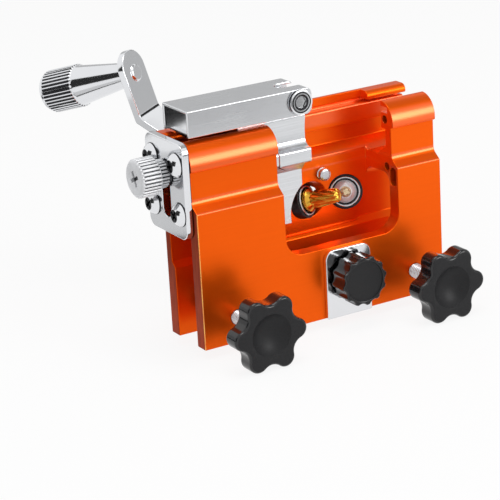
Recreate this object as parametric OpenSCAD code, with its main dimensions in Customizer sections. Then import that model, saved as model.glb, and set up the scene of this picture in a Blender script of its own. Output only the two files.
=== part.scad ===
// Hand-cranked chainsaw chain sharpener that clamps on the guide bar.
// +X runs along the bar to the right, +Y points to the crank side, +Z is up.
// Origin: bar seat face of the rear leg, midway along the housing, 11.5 mm above the legs' ends.

/* [Housing] */
// Length of the extruded housing
body_l = 110; // [104:1:118]
// Thickness of each leg
leg_t = 6; // [5:0.5:7]
// Gap between the two legs
bar_gap = 14; // [13:0.5:15]
// Depth of the legs below the origin
leg_drop = 11.5; // [9:0.5:13]
// Height of the bar seat above the origin
seat_h = 16; // [14:0.5:18]
// Relief behind the chain, above the bar seat
chain_relief = 2.3; // [1.5:0.1:3]
// Height of the tunnel roof above the origin
tunnel_h = 38.8; // [37.8:0.1:39.2]
// Corner radius of the tunnel roof
tunnel_r = 4; // [3:0.5:5]
// Middle of the slide channel, measured from the bar seat
channel_y = -2.6; // [-3:0.1:-2.2]
// Distance from the middle of the slide channel to the upper front wall
upper_front = 13.5; // [13.2:0.1:14.2]
// Distance from the middle of the slide channel to the upper rear wall
upper_rear = 14.2; // [14:0.1:14.6]
// Height of the step on the front wall
front_step_h = 42.3; // [40:0.1:44]
// Height of the step on the rear wall
rear_step_h = 33; // [31:0.5:34]
// Rise of each sloped step
step_rise = 3; // [2:0.5:4]
// Radius of the hollow above the front step
step_r = 3; // [2:0.5:4]
// Height of the rolled front lip's centre line
lip_h = 59.5; // [59:0.1:60.5]
// Radius of the rolled front lip
lip_r = 8.2; // [7.8:0.1:8.6]
// Flat under the rolled front lip
lip_flat = 1.8; // [1.2:0.1:2.4]
// Width of the slot between the lips
slot_w = 13.6; // [13.4:0.1:14]
// Depth of the cover groove under the front lip
groove_d = 4.4; // [3:0.1:4.8]
// Depth of the cover groove under the rear lip
rear_groove_d = 5.6; // [5:0.1:6]
// Radius of the rear lip's inner edge
rear_lip_r = 2.4; // [2:0.1:2.8]
// Radius of the screw ports in the end faces
port_r = 1.6; // [1.3:0.1:1.7]

/* [Window] */
// Left edge of the window
win_x0 = -17.1; // [-18:0.1:-16.6]
// Right edge of the window
win_x1 = 34.8; // [34:0.1:38]
// Sill of the window above the origin
win_h = 17.1; // [16.2:0.1:18]
// Corner radius of the window
win_r = 7.5; // [4:0.5:9]
// Right end of the milled rear lip
lip_mill_x1 = 36.7; // [35.5:0.1:38]

/* [End plate] */
// Thickness of the end plate
plate_t = 3; // [2:0.25:4]
// Width of the end plate
plate_w = 29; // [28.6:0.1:30]
// Lower edge of the end plate above the origin
plate_h0 = 31.7; // [31:0.1:33]
// Upper edge of the end plate above the origin
plate_h1 = 68.8; // [67:0.1:70]
// Corner radius of the end plate
plate_r = 4; // [2:0.5:5]
// Head diameter of the end plate screws
plate_screw_d = 9.4; // [8:0.2:9.6]

/* [Slide and lever] */
// Right end of the tooth-stop slide
slide_x1 = 0.7; // [0:0.1:1.5]
// Length of the tooth-stop slide
slide_l = 30; // [27:0.5:33]
// Thickness of the stop tongue
tongue_t = 4; // [3:0.25:5]
// Width of the stop tongue
tongue_w = 14.1; // [12:0.1:14.4]
// Lower end of the stop tongue above the origin
tongue_h = 24.6; // [24.3:0.1:27]
// Width over the lever channel
lever_w = 19; // [18.2:0.1:19.4]
// Height of the lever channel
lever_h = 10.4; // [10.3:0.1:11]
// Wall of the lever channel
lever_t = 1.1; // [0.9:0.1:1.2]
// Overhang of the lever past its pivot
lever_nose = 5.5; // [5.2:0.1:5.6]
// Length of the lever from its pivot to its free end
lever_l = 48.8; // [46:0.1:52]
// Place of the lever pivot along the bar
pivot_x = -3.4; // [-3.8:0.1:-3]
// Height of the lever pivot above the front lip
pivot_rise = 6.9; // [6.7:0.1:7.1]
// Diameter of the lever pivot shank
pivot_d = 5; // [4:0.1:5.2]

/* [Adjusting screw] */
// Height of the adjusting screw above the origin
adjust_h = 55.4; // [54.9:0.1:55.8]
// Diameter of the adjusting screw
adjust_d = 6; // [5:0.1:6.2]
// Diameter of the knurled head
adjust_head_d = 15; // [13:0.5:17]
// Length of the knurled head
adjust_head_l = 8.3; // [6:0.1:10]

/* [Spindles] */
// Distance of each spindle from their middle, at the bush face
spindle_pitch = 9; // [8.8:0.1:9.6]
// Middle of the two spindles along the bar
spindle_x = 16; // [15.6:0.1:16.4]
// Height of the spindles at the bush face
spindle_h = 29.5; // [29.2:0.1:30]
// Filing angle of the spindles in plan
file_angle = 30; // [28:0.5:32]
// Down tilt of the spindles to the crank side
tilt = 15; // [13:0.5:16]
// Outer diameter of the guide bushes
bush_d = 14; // [13.4:0.1:14.4]
// Length of the guide bushes
bush_l = 26; // [22:0.5:28]
// Outer diameter of the sliding quills
quill_d = 12; // [11.6:0.1:12.4]
// Length of the quills behind the bush face
quill_l = 38; // [37:0.5:40]
// Outer diameter of the spindle bearings
bearing_d = 10.6; // [9.8:0.1:10.8]
// Width of the spindle bearings
bearing_w = 4; // [3:0.25:5]
// Diameter of the spindle shafts
shaft_d = 6; // [5:0.1:6.4]
// Reach of the left burr's tip past the bush face
burr_reach = 15.2; // [13:0.1:15.6]
// Diameter of the left burr
burr_d = 7.4; // [6.4:0.1:7.6]
// Number of burr flutes
burr_flutes = 9; // [7:1:12]
// Reach of the right burr's tip past the bush face
right_reach = 5; // [4.4:0.1:5.2]

/* [Crank] */
// Width of the crank bar
crank_w = 15.5; // [14:0.5:17]
// Thickness of the crank bar
crank_t = 3; // [2.5:0.1:3.2]
// Radius of the crank from its hub to the handle pin
crank_r = 65; // [60:0.5:68]
// Joggle of the crank bar
crank_joggle = 10; // [8:0.5:12]
// Length of the offset end from the fold to the handle pin
crank_end = 17.8; // [16:0.2:19]
// Distance of the bar's rounded end past the handle pin
crank_over = 1.8; // [0:0.1:3]
// Distance of the hub behind the bush face
hub_back = 48.5; // [47.8:0.1:50]
// Angle of the resting crank from upright
crank_lean = 5.1; // [0:0.1:8]
// Length of the handle
handle_l = 41; // [38:0.5:46]
// Length of the handle's fluted end
flute_l = 16; // [14:0.5:18]
// Largest diameter of the handle
handle_d = 17.6; // [16:0.1:18.4]
// Diameter of the handle pin
handle_pin_d = 5; // [4:0.1:5.4]
// Number of handle flutes
handle_flutes = 28; // [20:1:32]

/* [Clamp screws] */
// Place of the left clamp screw along the bar
clamp_x0 = -40.1; // [-42:0.1:-39]
// Place of the right clamp screw along the bar
clamp_x1 = 41.8; // [40:0.1:43]
// Height of the left and right clamp screws
clamp_h = -1.3; // [-2:0.1:0]
// Diameter of the clamp screws
clamp_d = 6; // [5:0.1:6.4]
// Distance from the bar seat to the resting clamp feet
bar_room = 4.8; // [4.7:0.1:5.4]
// Diameter of the clamp feet
foot_d = 10; // [9:0.5:12]
// Thickness of the clamp feet
foot_t = 3.2; // [3:0.1:3.4]
// Distance from the front wall to the star knobs' faces
star_reach = 24.8; // [23:0.1:28]
// Diameter of the star knobs
star_d = 31; // [28:0.5:34]
// Thickness of the star knobs
star_t = 8; // [7.6:0.1:9.5]
// Radius of the star knobs' lobes
star_lobe_r = 3.9; // [3.5:0.1:4.2]
// Depth of the hollows between the lobes
star_valley = 3.6; // [3:0.1:3.8]
// Diameter of the dished star face
star_dish_d = 16.8; // [14:0.2:18]
// Place of the centre knob along the bar
centre_x = 10.2; // [9:0.1:11]
// Height of the centre knob above the origin
centre_h = 4.7; // [4.2:0.1:5.4]
// Diameter of the centre knob
centre_d = 20.2; // [19:0.2:20.6]
// Thickness of the centre knob
centre_t = 8.5; // [7.5:0.1:9.5]
// Middle of the plate behind the centre knob
pad_x = 9.2; // [8.4:0.1:10]
// Width of the plate behind the centre knob
pad_w = 20.5; // [19:0.5:22]
// Thickness of the plate behind the centre knob
pad_t = 2; // [1.5:0.1:2.5]
// Upper edge of that plate above the origin
pad_h = 16.4; // [15:0.1:16.8]

/* [Hidden] */
$fn = 64;

// Clearances: running fits, faces that pass each other, and overshoot of a cut
run = 0.05;
pass = 0.3;
cut = 1;

// Housing levels and faces
body_x0 = -body_l / 2;
front_y = -bar_gap - leg_t;
lip_top = lip_h + lip_r;
lip_under = lip_h - lip_flat;
half_slot = slot_w / 2;
groove_z0 = lip_h + 3.8;
groove_z1 = lip_top - 2.3;
lip_edge_r = 0.8;
rear_top = lip_top + 0.8;
rear_in = half_slot - 2;
rear_under = rear_top - 3.4;
rear_groove_z0 = rear_under - 1.2;
rear_out_r = 3.5;
rear_edge_r = 1;
mill_short = 0.6;
port_upper = [9.4, lip_h + 0.9];
port_lower = [10, tunnel_h + 2.6];
channel_half = 9.5;
channel_side = 7;
floor_rise = 4.3;
channel_roof = lip_under - 1.1;
channel_shoulder = channel_roof - channel_side;
channel_floor = channel_shoulder - floor_rise;
floor_half = 3.2;

// Slide section
flange_half = channel_half - 0.4;
flange_z0 = channel_shoulder + 0.6;
flange_z1 = channel_roof - 0.5;
neck_half = half_slot - 0.4;
neck_rear = rear_in - 0.4;
neck_top = lip_top + 0.8;
waist_dip = 0.8;
hollow_r = 3.2;
front_room = 3.5;
lug_t = 6;
lug_r = 3.5;
pivot = [pivot_x, lip_top + pivot_rise];
lever_bottom = lip_top + 1.5;
notch_w = lug_t + 1;
notch_x = pivot[0] - 5;
tongue_arc = [9.5, 27.5];
tongue_arc_r = 14.6;

// Spindle stations, measured along each axis from the bush face
quill_front = 0.6;
bearing_front = -2;
bore_r = shaft_d / 2 + 0.6;
collar_r = bearing_d / 2 - 0.7;
collar_front = 1.9;
burr_back = 3.6;
hub_front = -hub_back + crank_t / 2;
hex_r = shaft_d / 2 - 0.2;
hex_past = 3;
arm_back = hub_back + crank_joggle;

// Clamp screws
foot_y = -bar_room;
tip_r = clamp_d / 2 - 0.6;
tip_l = 2;
knob_hub_l = 2.5;
knob_grip = 3;
lobes = 6;
star_turn = -0.7;

// Puts a section drawn in (Y, Z) along X
module along_x(x0, l) {
    translate([x0, 0, 0]) rotate([90, 0, 90]) linear_extrude(l) children();
}

// Puts an outline drawn in (X, Z) along +Y
module along_y(y0, l) {
    translate([0, y0 + l, 0]) rotate([90, 0, 0]) linear_extrude(l) children();
}

// Stands a revolved part on a spindle axis; side is -1 for the left spindle and 1 for the right
module on_spindle(side) {
    translate([spindle_x + side * spindle_pitch, 3, spindle_h])
        rotate([0, 90 - tilt, -90 - side * file_angle])
            children();
}

// Plain tube or ring between two stations of an axis
module ring(z0, z1, r_out, r_in) {
    difference() {
        translate([0, 0, z0]) cylinder(h = z1 - z0, r = r_out);
        translate([0, 0, z0 - cut]) cylinder(h = z1 - z0 + 2 * cut, r = r_in);
    }
}

// Rectangle between two corners
module span(low, high) {
    translate(low) square(high - low);
}

// Rectangle with four rounded corners
module rounded(low, high, r) {
    span([low[0] + r, low[1]], [high[0] - r, high[1]]);
    span([low[0], low[1] + r], [high[0], high[1] - r]);
    for (x = [low[0] + r, high[0] - r], z = [low[1] + r, high[1] - r])
        translate([x, z]) circle(r);
}

// Both halves of something drawn beside the slide channel's middle
module both_sides() {
    translate([channel_y, 0]) {
        children();
        mirror([1, 0]) children();
    }
}

// Rolled front lip, drawn outwards from the channel's middle, with a rounded lower edge
module front_lip() {
    lip_out = half_slot + lip_r;
    span([0, lip_under], [lip_out - lip_edge_r, lip_h]);
    span([0, lip_under + lip_edge_r], [lip_out, lip_h]);
    translate([lip_out - lip_edge_r, lip_under + lip_edge_r]) circle(lip_edge_r);
    intersection() {
        translate([half_slot, lip_h]) circle(lip_r);
        span([half_slot - cut, lip_h], [lip_out + cut, lip_top + cut]);
    }
}

// Rear lip with a flat top, rounded at the slot and at the back
module rear_lip() {
    span([0, lip_under], [upper_rear, rear_under]);
    span([rear_in, rear_under - cut], [upper_rear, rear_top - rear_out_r]);
    span([rear_in + rear_lip_r, rear_under], [upper_rear - rear_out_r, rear_top]);
    translate([rear_in + rear_lip_r, rear_top - rear_lip_r]) circle(rear_lip_r);
    translate([upper_rear - rear_out_r, rear_top - rear_out_r]) circle(rear_out_r);
}

// Solid outline of the extrusion, before its channels
module section_outline() {
    wall = channel_y - upper_front;
    rear_wall = channel_y + upper_rear;
    step_top = [wall, front_step_h + step_rise];
    polygon([[front_y, -leg_drop], [leg_t, -leg_drop], [leg_t, rear_step_h],
        [rear_wall, rear_step_h + step_rise], [rear_wall, lip_h], [wall, lip_h], step_top,
        [front_y, front_step_h]]);
    // Hollow from the wall into the slope of the front step
    slope = [front_y, front_step_h] - step_top;
    reach = step_r / tan(acos(slope[1] / norm(slope)) / 2);
    foot = step_top + reach * slope / norm(slope);
    difference() {
        polygon([step_top + [cut, reach], step_top + [0, reach], foot, foot + [cut, -cut]]);
        translate(step_top + [-step_r, reach]) circle(step_r);
    }
    translate([channel_y, 0]) {
        rear_lip();
        mirror([1, 0]) front_lip();
    }
}

// Space for the bar and chain between the legs, with a rounded roof
module bar_space() {
    spring = tunnel_h - tunnel_r;
    polygon([[-bar_gap, -leg_drop - cut], [0, -leg_drop - cut], [0, seat_h],
        [chain_relief, seat_h + chain_relief], [chain_relief, spring], [-bar_gap, spring]]);
    span([-bar_gap + tunnel_r, spring - cut], [chain_relief - tunnel_r, tunnel_h]);
    for (y = [-bar_gap + tunnel_r, chain_relief - tunnel_r])
        translate([y, spring]) circle(tunnel_r);
}

// Half of the slide channel, from its sloped floor to the slot between the lips
module channel_half_section() {
    polygon([[-cut, channel_floor], [floor_half, channel_floor], [channel_half, channel_shoulder],
        [channel_half, channel_roof], [half_slot, channel_roof], [half_slot, groove_z0], [-cut, groove_z0]]);
    for (port = [port_upper, port_lower])
        translate(port) circle(port_r);
}

// Slot between the lips, with a cover groove under each of them
module slot_section() {
    edge = half_slot + rear_edge_r;
    translate([channel_y, 0]) {
        span([-half_slot, groove_z0 - cut], [0, lip_top + cut]);
        span([-half_slot - groove_d, groove_z0], [0, groove_z1]);
        span([-cut, groove_z0 - cut], [half_slot, rear_under]);
        span([-cut, rear_groove_z0], [rear_in + rear_groove_d, rear_under]);
        span([-cut, rear_under - cut], [rear_in, rear_top + cut]);
        difference() {
            span([half_slot - cut, rear_groove_z0 - rear_edge_r], [edge, rear_groove_z0 + cut / 2]);
            translate([edge, rear_groove_z0 - rear_edge_r]) circle(rear_edge_r);
        }
    }
}

module housing() {
    color("orangered") difference() {
        along_x(body_x0, body_l) difference() {
            section_outline();
            bar_space();
            both_sides() channel_half_section();
            slot_section();
        }
        // Window through the front wall, the front lip and the web
        along_y(front_y - cut, chain_relief - front_y + cut) {
            rounded([win_x0, win_h], [win_x1, win_h + 3 * win_r], win_r);
            span([win_x0, win_h + win_r], [win_x1, rear_top + cut]);
        }
        // Rear lip milled away beside the lever, just short of its groove's wall
        along_x(win_x0, lip_mill_x1 - win_x0)
            span([chain_relief - cut, rear_under - cut],
                [channel_y + rear_in + rear_groove_d - mill_short, rear_top + cut]);
        for (x = [clamp_x0, clamp_x1])
            clamp_bore(x, clamp_h);
        clamp_bore(centre_x, centre_h);
        for (side = [-1, 1])
            on_spindle(side) translate([0, 0, -bush_l]) cylinder(h = 2 * bush_l, r = bush_d / 2);
        pin_space(pin_d / 2);
    }
}

// Bore for a clamp screw through the front leg
module clamp_bore(x, z) {
    translate([x, front_y - cut, z]) rotate([-90, 0, 0]) cylinder(h = leg_t + 2 * cut, r = clamp_d / 2 + run);
}

// Stop pin in the rear wall above the spindles
pin_d = 5;
pin_x = 14;
pin_h = 39.4;
pin_proud = 3;
pin_seat = 5;
module pin_space(r) {
    translate([pin_x, chain_relief, pin_h]) rotate([-90, 0, 0])
        translate([0, 0, -2 * pin_proud]) cylinder(h = 2 * pin_proud + pin_seat, r = r);
}

module stop_pin() {
    chamfer = 0.8;
    color("silver") translate([pin_x, chain_relief + pin_seat, pin_h]) rotate([90, 0, 0]) {
        cylinder(h = pin_seat + pin_proud - chamfer, r = pin_d / 2);
        translate([0, 0, pin_seat + pin_proud - chamfer])
            cylinder(h = chamfer, r1 = pin_d / 2, r2 = pin_d / 2 - chamfer);
    }
}

module end_plate() {
    slot_half = adjust_d / 2 + 0.2;
    low = [channel_y - plate_w / 2, plate_h0];
    high = [channel_y + plate_w / 2, plate_h1];
    color("gainsboro") along_x(body_x0 - plate_t, plate_t) difference() {
        rounded(low, high, plate_r);
        // Slot that the neck of the adjusting screw drops into
        translate([channel_y, adjust_h]) circle(slot_half);
        translate([channel_y, port_lower[1]]) circle(slot_half);
        span([channel_y - slot_half, port_lower[1]], [channel_y + slot_half, adjust_h]);
        both_sides() {
            for (port = [port_upper, port_lower])
                translate(port) circle(port_r);
        }
    }
}

// Pan-head screws with a cross recess, one in each port
module end_plate_screws() {
    head_h = 3.4;
    shank_l = 9;
    recess_l = 4.6;
    recess_w = 1.1;
    recess_d = 1.6;
    dome_r = (pow(plate_screw_d / 2, 2) + pow(head_h, 2)) / (2 * head_h);
    color("silver") for (side = [-1, 1], port = [port_upper, port_lower])
        translate([body_x0 - plate_t, channel_y + side * port[0], port[1]]) rotate([0, -90, 0]) {
            difference() {
                intersection() {
                    translate([0, 0, head_h - dome_r]) sphere(dome_r);
                    cylinder(h = head_h + cut, r = plate_screw_d / 2);
                }
                for (turn = [20, 110])
                    rotate(turn) translate([0, 0, head_h])
                        cube([recess_l, recess_w, 2 * recess_d], center = true);
            }
            translate([0, 0, -plate_t - shank_l]) cylinder(h = plate_t + shank_l, r = port_r);
        }
}

module centre_plate() {
    r = 4;
    color("gainsboro") difference() {
        along_y(front_y - pad_t, pad_t) {
            rounded([pad_x - pad_w / 2, pad_h - 3 * r], [pad_x + pad_w / 2, pad_h], r);
            span([pad_x - pad_w / 2, -leg_drop], [pad_x + pad_w / 2, pad_h - r]);
        }
        translate([centre_x, front_y - pad_t - cut, centre_h]) rotate([-90, 0, 0])
            cylinder(h = pad_t + 2 * cut, r = clamp_d / 2 + run);
    }
}

// Guide bushes and the sliding quills that carry the spindles
module guide_bush(side) {
    color("dimgray") on_spindle(side) ring(-bush_l, 0, bush_d / 2, quill_d / 2 + run);
}

module left_guide_bush() {
    guide_bush(-1);
}

module right_guide_bush() {
    guide_bush(1);
}

module quill(side) {
    flange_w = 4;
    flange_r = quill_d / 2 + 1.6;
    color("silver") on_spindle(side) difference() {
        union() {
            translate([0, 0, -quill_l]) cylinder(h = quill_l + quill_front, r = quill_d / 2);
            translate([0, 0, -quill_l]) cylinder(h = flange_w, r = flange_r);
        }
        translate([0, 0, -quill_l - cut]) cylinder(h = quill_l + quill_front + 2 * cut, r = bore_r);
        translate([0, 0, bearing_front - bearing_w]) cylinder(h = 3 * bearing_w, r = bearing_d / 2);
        translate([0, 0, -quill_l - cut]) cylinder(h = bearing_w + cut, r = bearing_d / 2);
    }
}

module left_quill() {
    quill(-1);
}

module right_quill() {
    quill(1);
}

module bearing(side, front) {
    color("dimgray") on_spindle(side) ring(front - bearing_w, front, bearing_d / 2, shaft_d / 2 + run);
}

module left_front_bearing() {
    bearing(-1, bearing_front);
}

module left_rear_bearing() {
    bearing(-1, -quill_l + bearing_w);
}

module right_front_bearing() {
    bearing(1, bearing_front);
}

module right_rear_bearing() {
    bearing(1, -quill_l + bearing_w);
}

// Shaft with a rear shoulder and a hexagon for the crank
module spindle(side, hex_l) {
    shoulder_r = shaft_d / 2 + 1.4;
    rear = -quill_l - pass;
    color("silver") on_spindle(side) {
        translate([0, 0, hub_front]) cylinder(h = -hub_front + bearing_front + pass, r = shaft_d / 2);
        translate([0, 0, hub_front]) cylinder(h = rear - hub_front, r = shoulder_r);
        translate([0, 0, hub_front - hex_l]) cylinder(h = hex_l, r = hex_r, $fn = 6);
    }
}

module left_spindle() {
    spindle(-1, crank_t + hex_past);
}

module right_spindle() {
    spindle(1, crank_t + hex_past);
}

// Tapered burr with slanted flutes on a turned collar
module left_burr() {
    taper = 0.8;
    lead = 22;
    tip_l = 1.2;
    flute_r = 0.95;
    body_r = burr_d / 2;
    neck_r = body_r - 1.1;
    body_l = burr_reach - tip_l - burr_back;
    color("goldenrod") on_spindle(-1) {
        translate([0, 0, bearing_front + pass]) cylinder(h = collar_front - bearing_front - pass, r = collar_r);
        translate([0, 0, collar_front]) cylinder(h = burr_back - collar_front, r1 = collar_r, r2 = neck_r);
        translate([0, 0, burr_back]) difference() {
            union() {
                cylinder(h = body_l, r1 = body_r, r2 = taper * body_r);
                translate([0, 0, body_l]) cylinder(h = tip_l, r1 = taper * body_r, r2 = taper * body_r - tip_l);
            }
            for (i = [0:burr_flutes - 1])
                rotate(i * 360 / burr_flutes) translate([body_r, 0, 0]) rotate([lead, 0, 0])
                    translate([0, 0, -body_l]) cylinder(h = 3 * body_l, r = flute_r, $fn = 24);
        }
    }
}

// Coned nose of the right spindle, and the burr that it holds
nose_front = 2;
nose_tip_r = 2.6;
module right_nose() {
    color("silver") on_spindle(1) {
        translate([0, 0, bearing_front + pass]) cylinder(h = 1.2, r = collar_r);
        translate([0, 0, bearing_front + pass + 1.2])
            cylinder(h = nose_front - bearing_front - pass - 1.2, r1 = collar_r, r2 = nose_tip_r);
    }
}

module right_burr() {
    tip_r = 1.4;
    color("wheat") on_spindle(1) translate([0, 0, nose_front])
        cylinder(h = right_reach - nose_front, r1 = nose_tip_r - 0.4, r2 = tip_r);
}

// Bar folded twice, drawn as (distance from the hub, distance behind the bush face)
module crank_bar_section() {
    lower_end = crank_r - crank_end - crank_joggle;
    path = [[-crank_w, -hub_back], [lower_end, -hub_back], [crank_r - crank_end, -arm_back],
        [crank_r + crank_w, -arm_back]];
    for (i = [0:len(path) - 2])
        let (run_v = path[i + 1] - path[i])
            translate(path[i]) rotate(atan2(run_v[1], run_v[0]))
                translate([0, -crank_t / 2]) square([norm(run_v), crank_t]);
    for (i = [1:len(path) - 2])
        translate(path[i]) circle(crank_t / 2);
}

// Turns from a spindle axis to the crank's resting direction
module crank_turn() {
    on_spindle(-1) rotate(180 + crank_lean) children();
}

module crank_arm() {
    color("gainsboro") crank_turn() difference() {
        intersection() {
            translate([0, crank_w / 2, 0]) rotate([90, 0, 0]) linear_extrude(crank_w) crank_bar_section();
            translate([0, 0, -arm_back - crank_t]) linear_extrude(crank_joggle + 2 * crank_t) {
                span([0, -crank_w / 2], [crank_r + crank_over, crank_w / 2]);
                circle(crank_w / 2);
                translate([crank_r + crank_over, 0]) circle(crank_w / 2);
            }
        }
        rotate(-crank_lean - 180) translate([0, 0, -hub_back - crank_t])
            cylinder(h = 2 * crank_t, r = hex_r, $fn = 6);
        translate([crank_r, 0, -arm_back - crank_t]) cylinder(h = 2 * crank_t, r = handle_pin_d / 2);
    }
}

// Domed nut that holds the crank on the spindle
module crank_nut() {
    nut_r = 5;
    nut_h = 3;
    color("silver") on_spindle(-1) translate([0, 0, hub_front - crank_t - nut_h]) difference() {
        union() {
            cylinder(h = nut_h, r = nut_r, $fn = 6);
            intersection() {
                sphere(nut_r - 0.8);
                translate([0, 0, -nut_r]) cylinder(h = nut_r + cut, r = nut_r);
            }
        }
        cylinder(h = nut_h + cut, r = hex_r, $fn = 6);
    }
}

// Riveted pin that the handle turns on
handle_gap = 0.3;
handle_front = arm_back + crank_t / 2 + handle_gap;
module handle_pin() {
    rivet_r = 3.7;
    rivet_h = 0.8;
    cap_r = 4;
    cap_h = 2;
    color("silver") crank_turn() translate([crank_r, 0, 0]) {
        translate([0, 0, -handle_front - handle_l + cap_h])
            cylinder(h = handle_l - cap_h + handle_gap + crank_t, r = handle_pin_d / 2);
        translate([0, 0, -arm_back + crank_t / 2]) cylinder(h = rivet_h, r1 = rivet_r, r2 = rivet_r - 0.8);
        translate([0, 0, -handle_front - handle_l]) cylinder(h = cap_h, r = cap_r);
    }
}

// Turned handle: a cone that widens to a fluted end
module handle_grip() {
    near_r = 4.8;
    cone_l = handle_l - flute_l;
    knurl_r = handle_d / 2;
    cone_r = knurl_r - 0.8;
    end_r = 2.4;
    flute_r = 0.7;
    cap_space = [4.3, 2.3];
    pin_r = handle_pin_d / 2 + run;
    color("silver") crank_turn() translate([crank_r, 0, -handle_front]) mirror([0, 0, 1]) difference() {
        union() {
            rotate_extrude() difference() {
                union() {
                    polygon([[pin_r, 0], [near_r - 0.6, 0], [near_r, 0.6], [cone_r, cone_l],
                        [knurl_r, cone_l + 1], [knurl_r, handle_l - end_r], [knurl_r - end_r, handle_l - end_r],
                        [knurl_r - end_r, handle_l], [pin_r, handle_l]]);
                    translate([knurl_r - end_r, handle_l - end_r]) circle(end_r);
                }
                span([-cut, handle_l - cap_space[1]], [cap_space[0], handle_l + cut]);
            }
        }
        for (i = [0:handle_flutes - 1])
            rotate(i * 360 / handle_flutes) translate([knurl_r + 0.15, 0, cone_l + 1.2])
                cylinder(h = handle_l, r = flute_r, $fn = 16);
    }
}

// Tooth-stop slide: a T section in the channel with a tongue down to the chain and a lug for the lever
flange_corner = 1.4;
module slide_foot_half() {
    rounded([-2 * flange_corner, flange_z0], [flange_half, flange_z1], flange_corner);
    polygon([[-cut, channel_floor + 0.6], [floor_half - 0.6, channel_floor + 0.6],
        [flange_half - 2 * flange_corner, flange_z0], [-cut, flange_z0]]);
}

// Neck in the slot, waisted on its front side
module slide_neck() {
    dip_r = 30;
    translate([channel_y, 0]) difference() {
        span([-neck_half, flange_z1 - cut], [neck_rear, neck_top]);
        translate([-neck_half - dip_r + waist_dip, (flange_z1 + neck_top) / 2 - 2]) circle(dip_r);
    }
}

// Wider front flange in the window, with a hollow up to the neck
module slide_front() {
    hollow_at = [-neck_half + waist_dip - hollow_r, flange_z1 + hollow_r];
    corner = 1;
    translate([channel_y, 0]) {
        rounded([hollow_at[0] - corner, flange_z0], [0, flange_z1], corner);
        difference() {
            span([hollow_at[0], flange_z1 - cut], [-neck_half + 2 * waist_dip, hollow_at[1]]);
            translate(hollow_at) circle(hollow_r);
        }
    }
}

module tooth_stop_slide() {
    bore_l = 15;
    x0 = slide_x1 - slide_l;
    lug_foot = 2 * lug_r;
    color("silver") difference() {
        union() {
            along_x(x0, slide_l) {
                both_sides() slide_foot_half();
                slide_neck();
            }
            along_x(win_x0 + front_room, slide_x1 - win_x0 - front_room) slide_front();
            along_y(channel_y - tongue_t / 2, tongue_t) difference() {
                span([slide_x1 - tongue_w, tongue_h], [slide_x1, channel_floor + cut]);
                translate(tongue_arc) circle(tongue_arc_r);
            }
            along_y(channel_y - lug_t / 2, lug_t) {
                translate(pivot) circle(lug_r);
                span([pivot[0] - lug_r, neck_top - cut], [pivot[0] - lug_r + lug_foot, pivot[1]]);
            }
        }
        translate([x0 - cut, channel_y, adjust_h]) rotate([0, 90, 0])
            cylinder(h = bore_l + cut, r = adjust_d / 2 + run);
        translate([pivot[0], channel_y - lug_t, pivot[1]]) rotate([-90, 0, 0])
            cylinder(h = 2 * lug_t, r = pivot_d / 2);
    }
}

// Lever: an inverted channel notched over the lug
module lever() {
    nose_r = 2.6;
    x0 = pivot[0] - lever_l;
    x1 = pivot[0] + lever_nose;
    z1 = lever_bottom + lever_h;
    inner_half = lever_w / 2 - lever_t;
    color("gainsboro") difference() {
        along_y(channel_y - lever_w / 2, lever_w) {
            span([x0, lever_bottom], [x1 - nose_r, z1]);
            rounded([x1 - 3 * nose_r, lever_bottom], [x1, z1], nose_r);
        }
        along_x(x0 - cut, x1 - x0 + 2 * cut)
            span([channel_y - inner_half, lever_bottom - cut], [channel_y + inner_half, z1 - lever_t]);
        translate([notch_x + notch_w / 2, channel_y, lever_bottom]) cylinder(h = 2 * lever_h, r = notch_w / 2);
        translate([notch_x + notch_w / 2, channel_y - notch_w / 2, lever_bottom])
            cube([lever_l, notch_w, 2 * lever_h]);
        translate([pivot[0], channel_y - lever_w, pivot[1]]) rotate([-90, 0, 0])
            cylinder(h = 2 * lever_w, r = pivot_d / 2 + run);
    }
}

// Socket-head screw that the lever turns on, with a nut behind
pivot_nut_h = 3;
module lever_pivot_screw() {
    head_r = 4.9;
    head_h = 1.2;
    socket_r = 2.9;
    front = channel_y - lever_w / 2 - pass;
    shank_l = lever_w + 2 * pass + pivot_nut_h;
    color("silver") difference() {
        translate([pivot[0], front, pivot[1]]) rotate([-90, 0, 0]) {
            translate([0, 0, -head_h]) cylinder(h = head_h, r = head_r);
            cylinder(h = shank_l, r = pivot_d / 2);
        }
        translate([pivot[0], front - head_h - cut, pivot[1]]) rotate([-90, 0, 0])
            cylinder(h = head_h - 0.6 + cut, r = socket_r, $fn = 6);
    }
}

module lever_pivot_nut() {
    nut_r = 4.4;
    color("silver") translate([pivot[0], channel_y + lever_w / 2 + pass, pivot[1]]) rotate([-90, 0, 0])
        difference() {
            cylinder(h = pivot_nut_h, r = nut_r, $fn = 6);
            translate([0, 0, -cut]) cylinder(h = pivot_nut_h + 2 * cut, r = pivot_d / 2);
        }
}

// Knurled screw that is held in the end plate and draws the slide along
adjust_flutes = 30;
module fluted_disc(r, l, flutes, flute_r, depth) {
    difference() {
        cylinder(h = l, r = r);
        for (i = [0:flutes - 1])
            rotate(i * 360 / flutes) translate([r + flute_r - depth, 0, -cut])
                cylinder(h = l + 2 * cut, r = flute_r, $fn = 32);
    }
}

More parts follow.
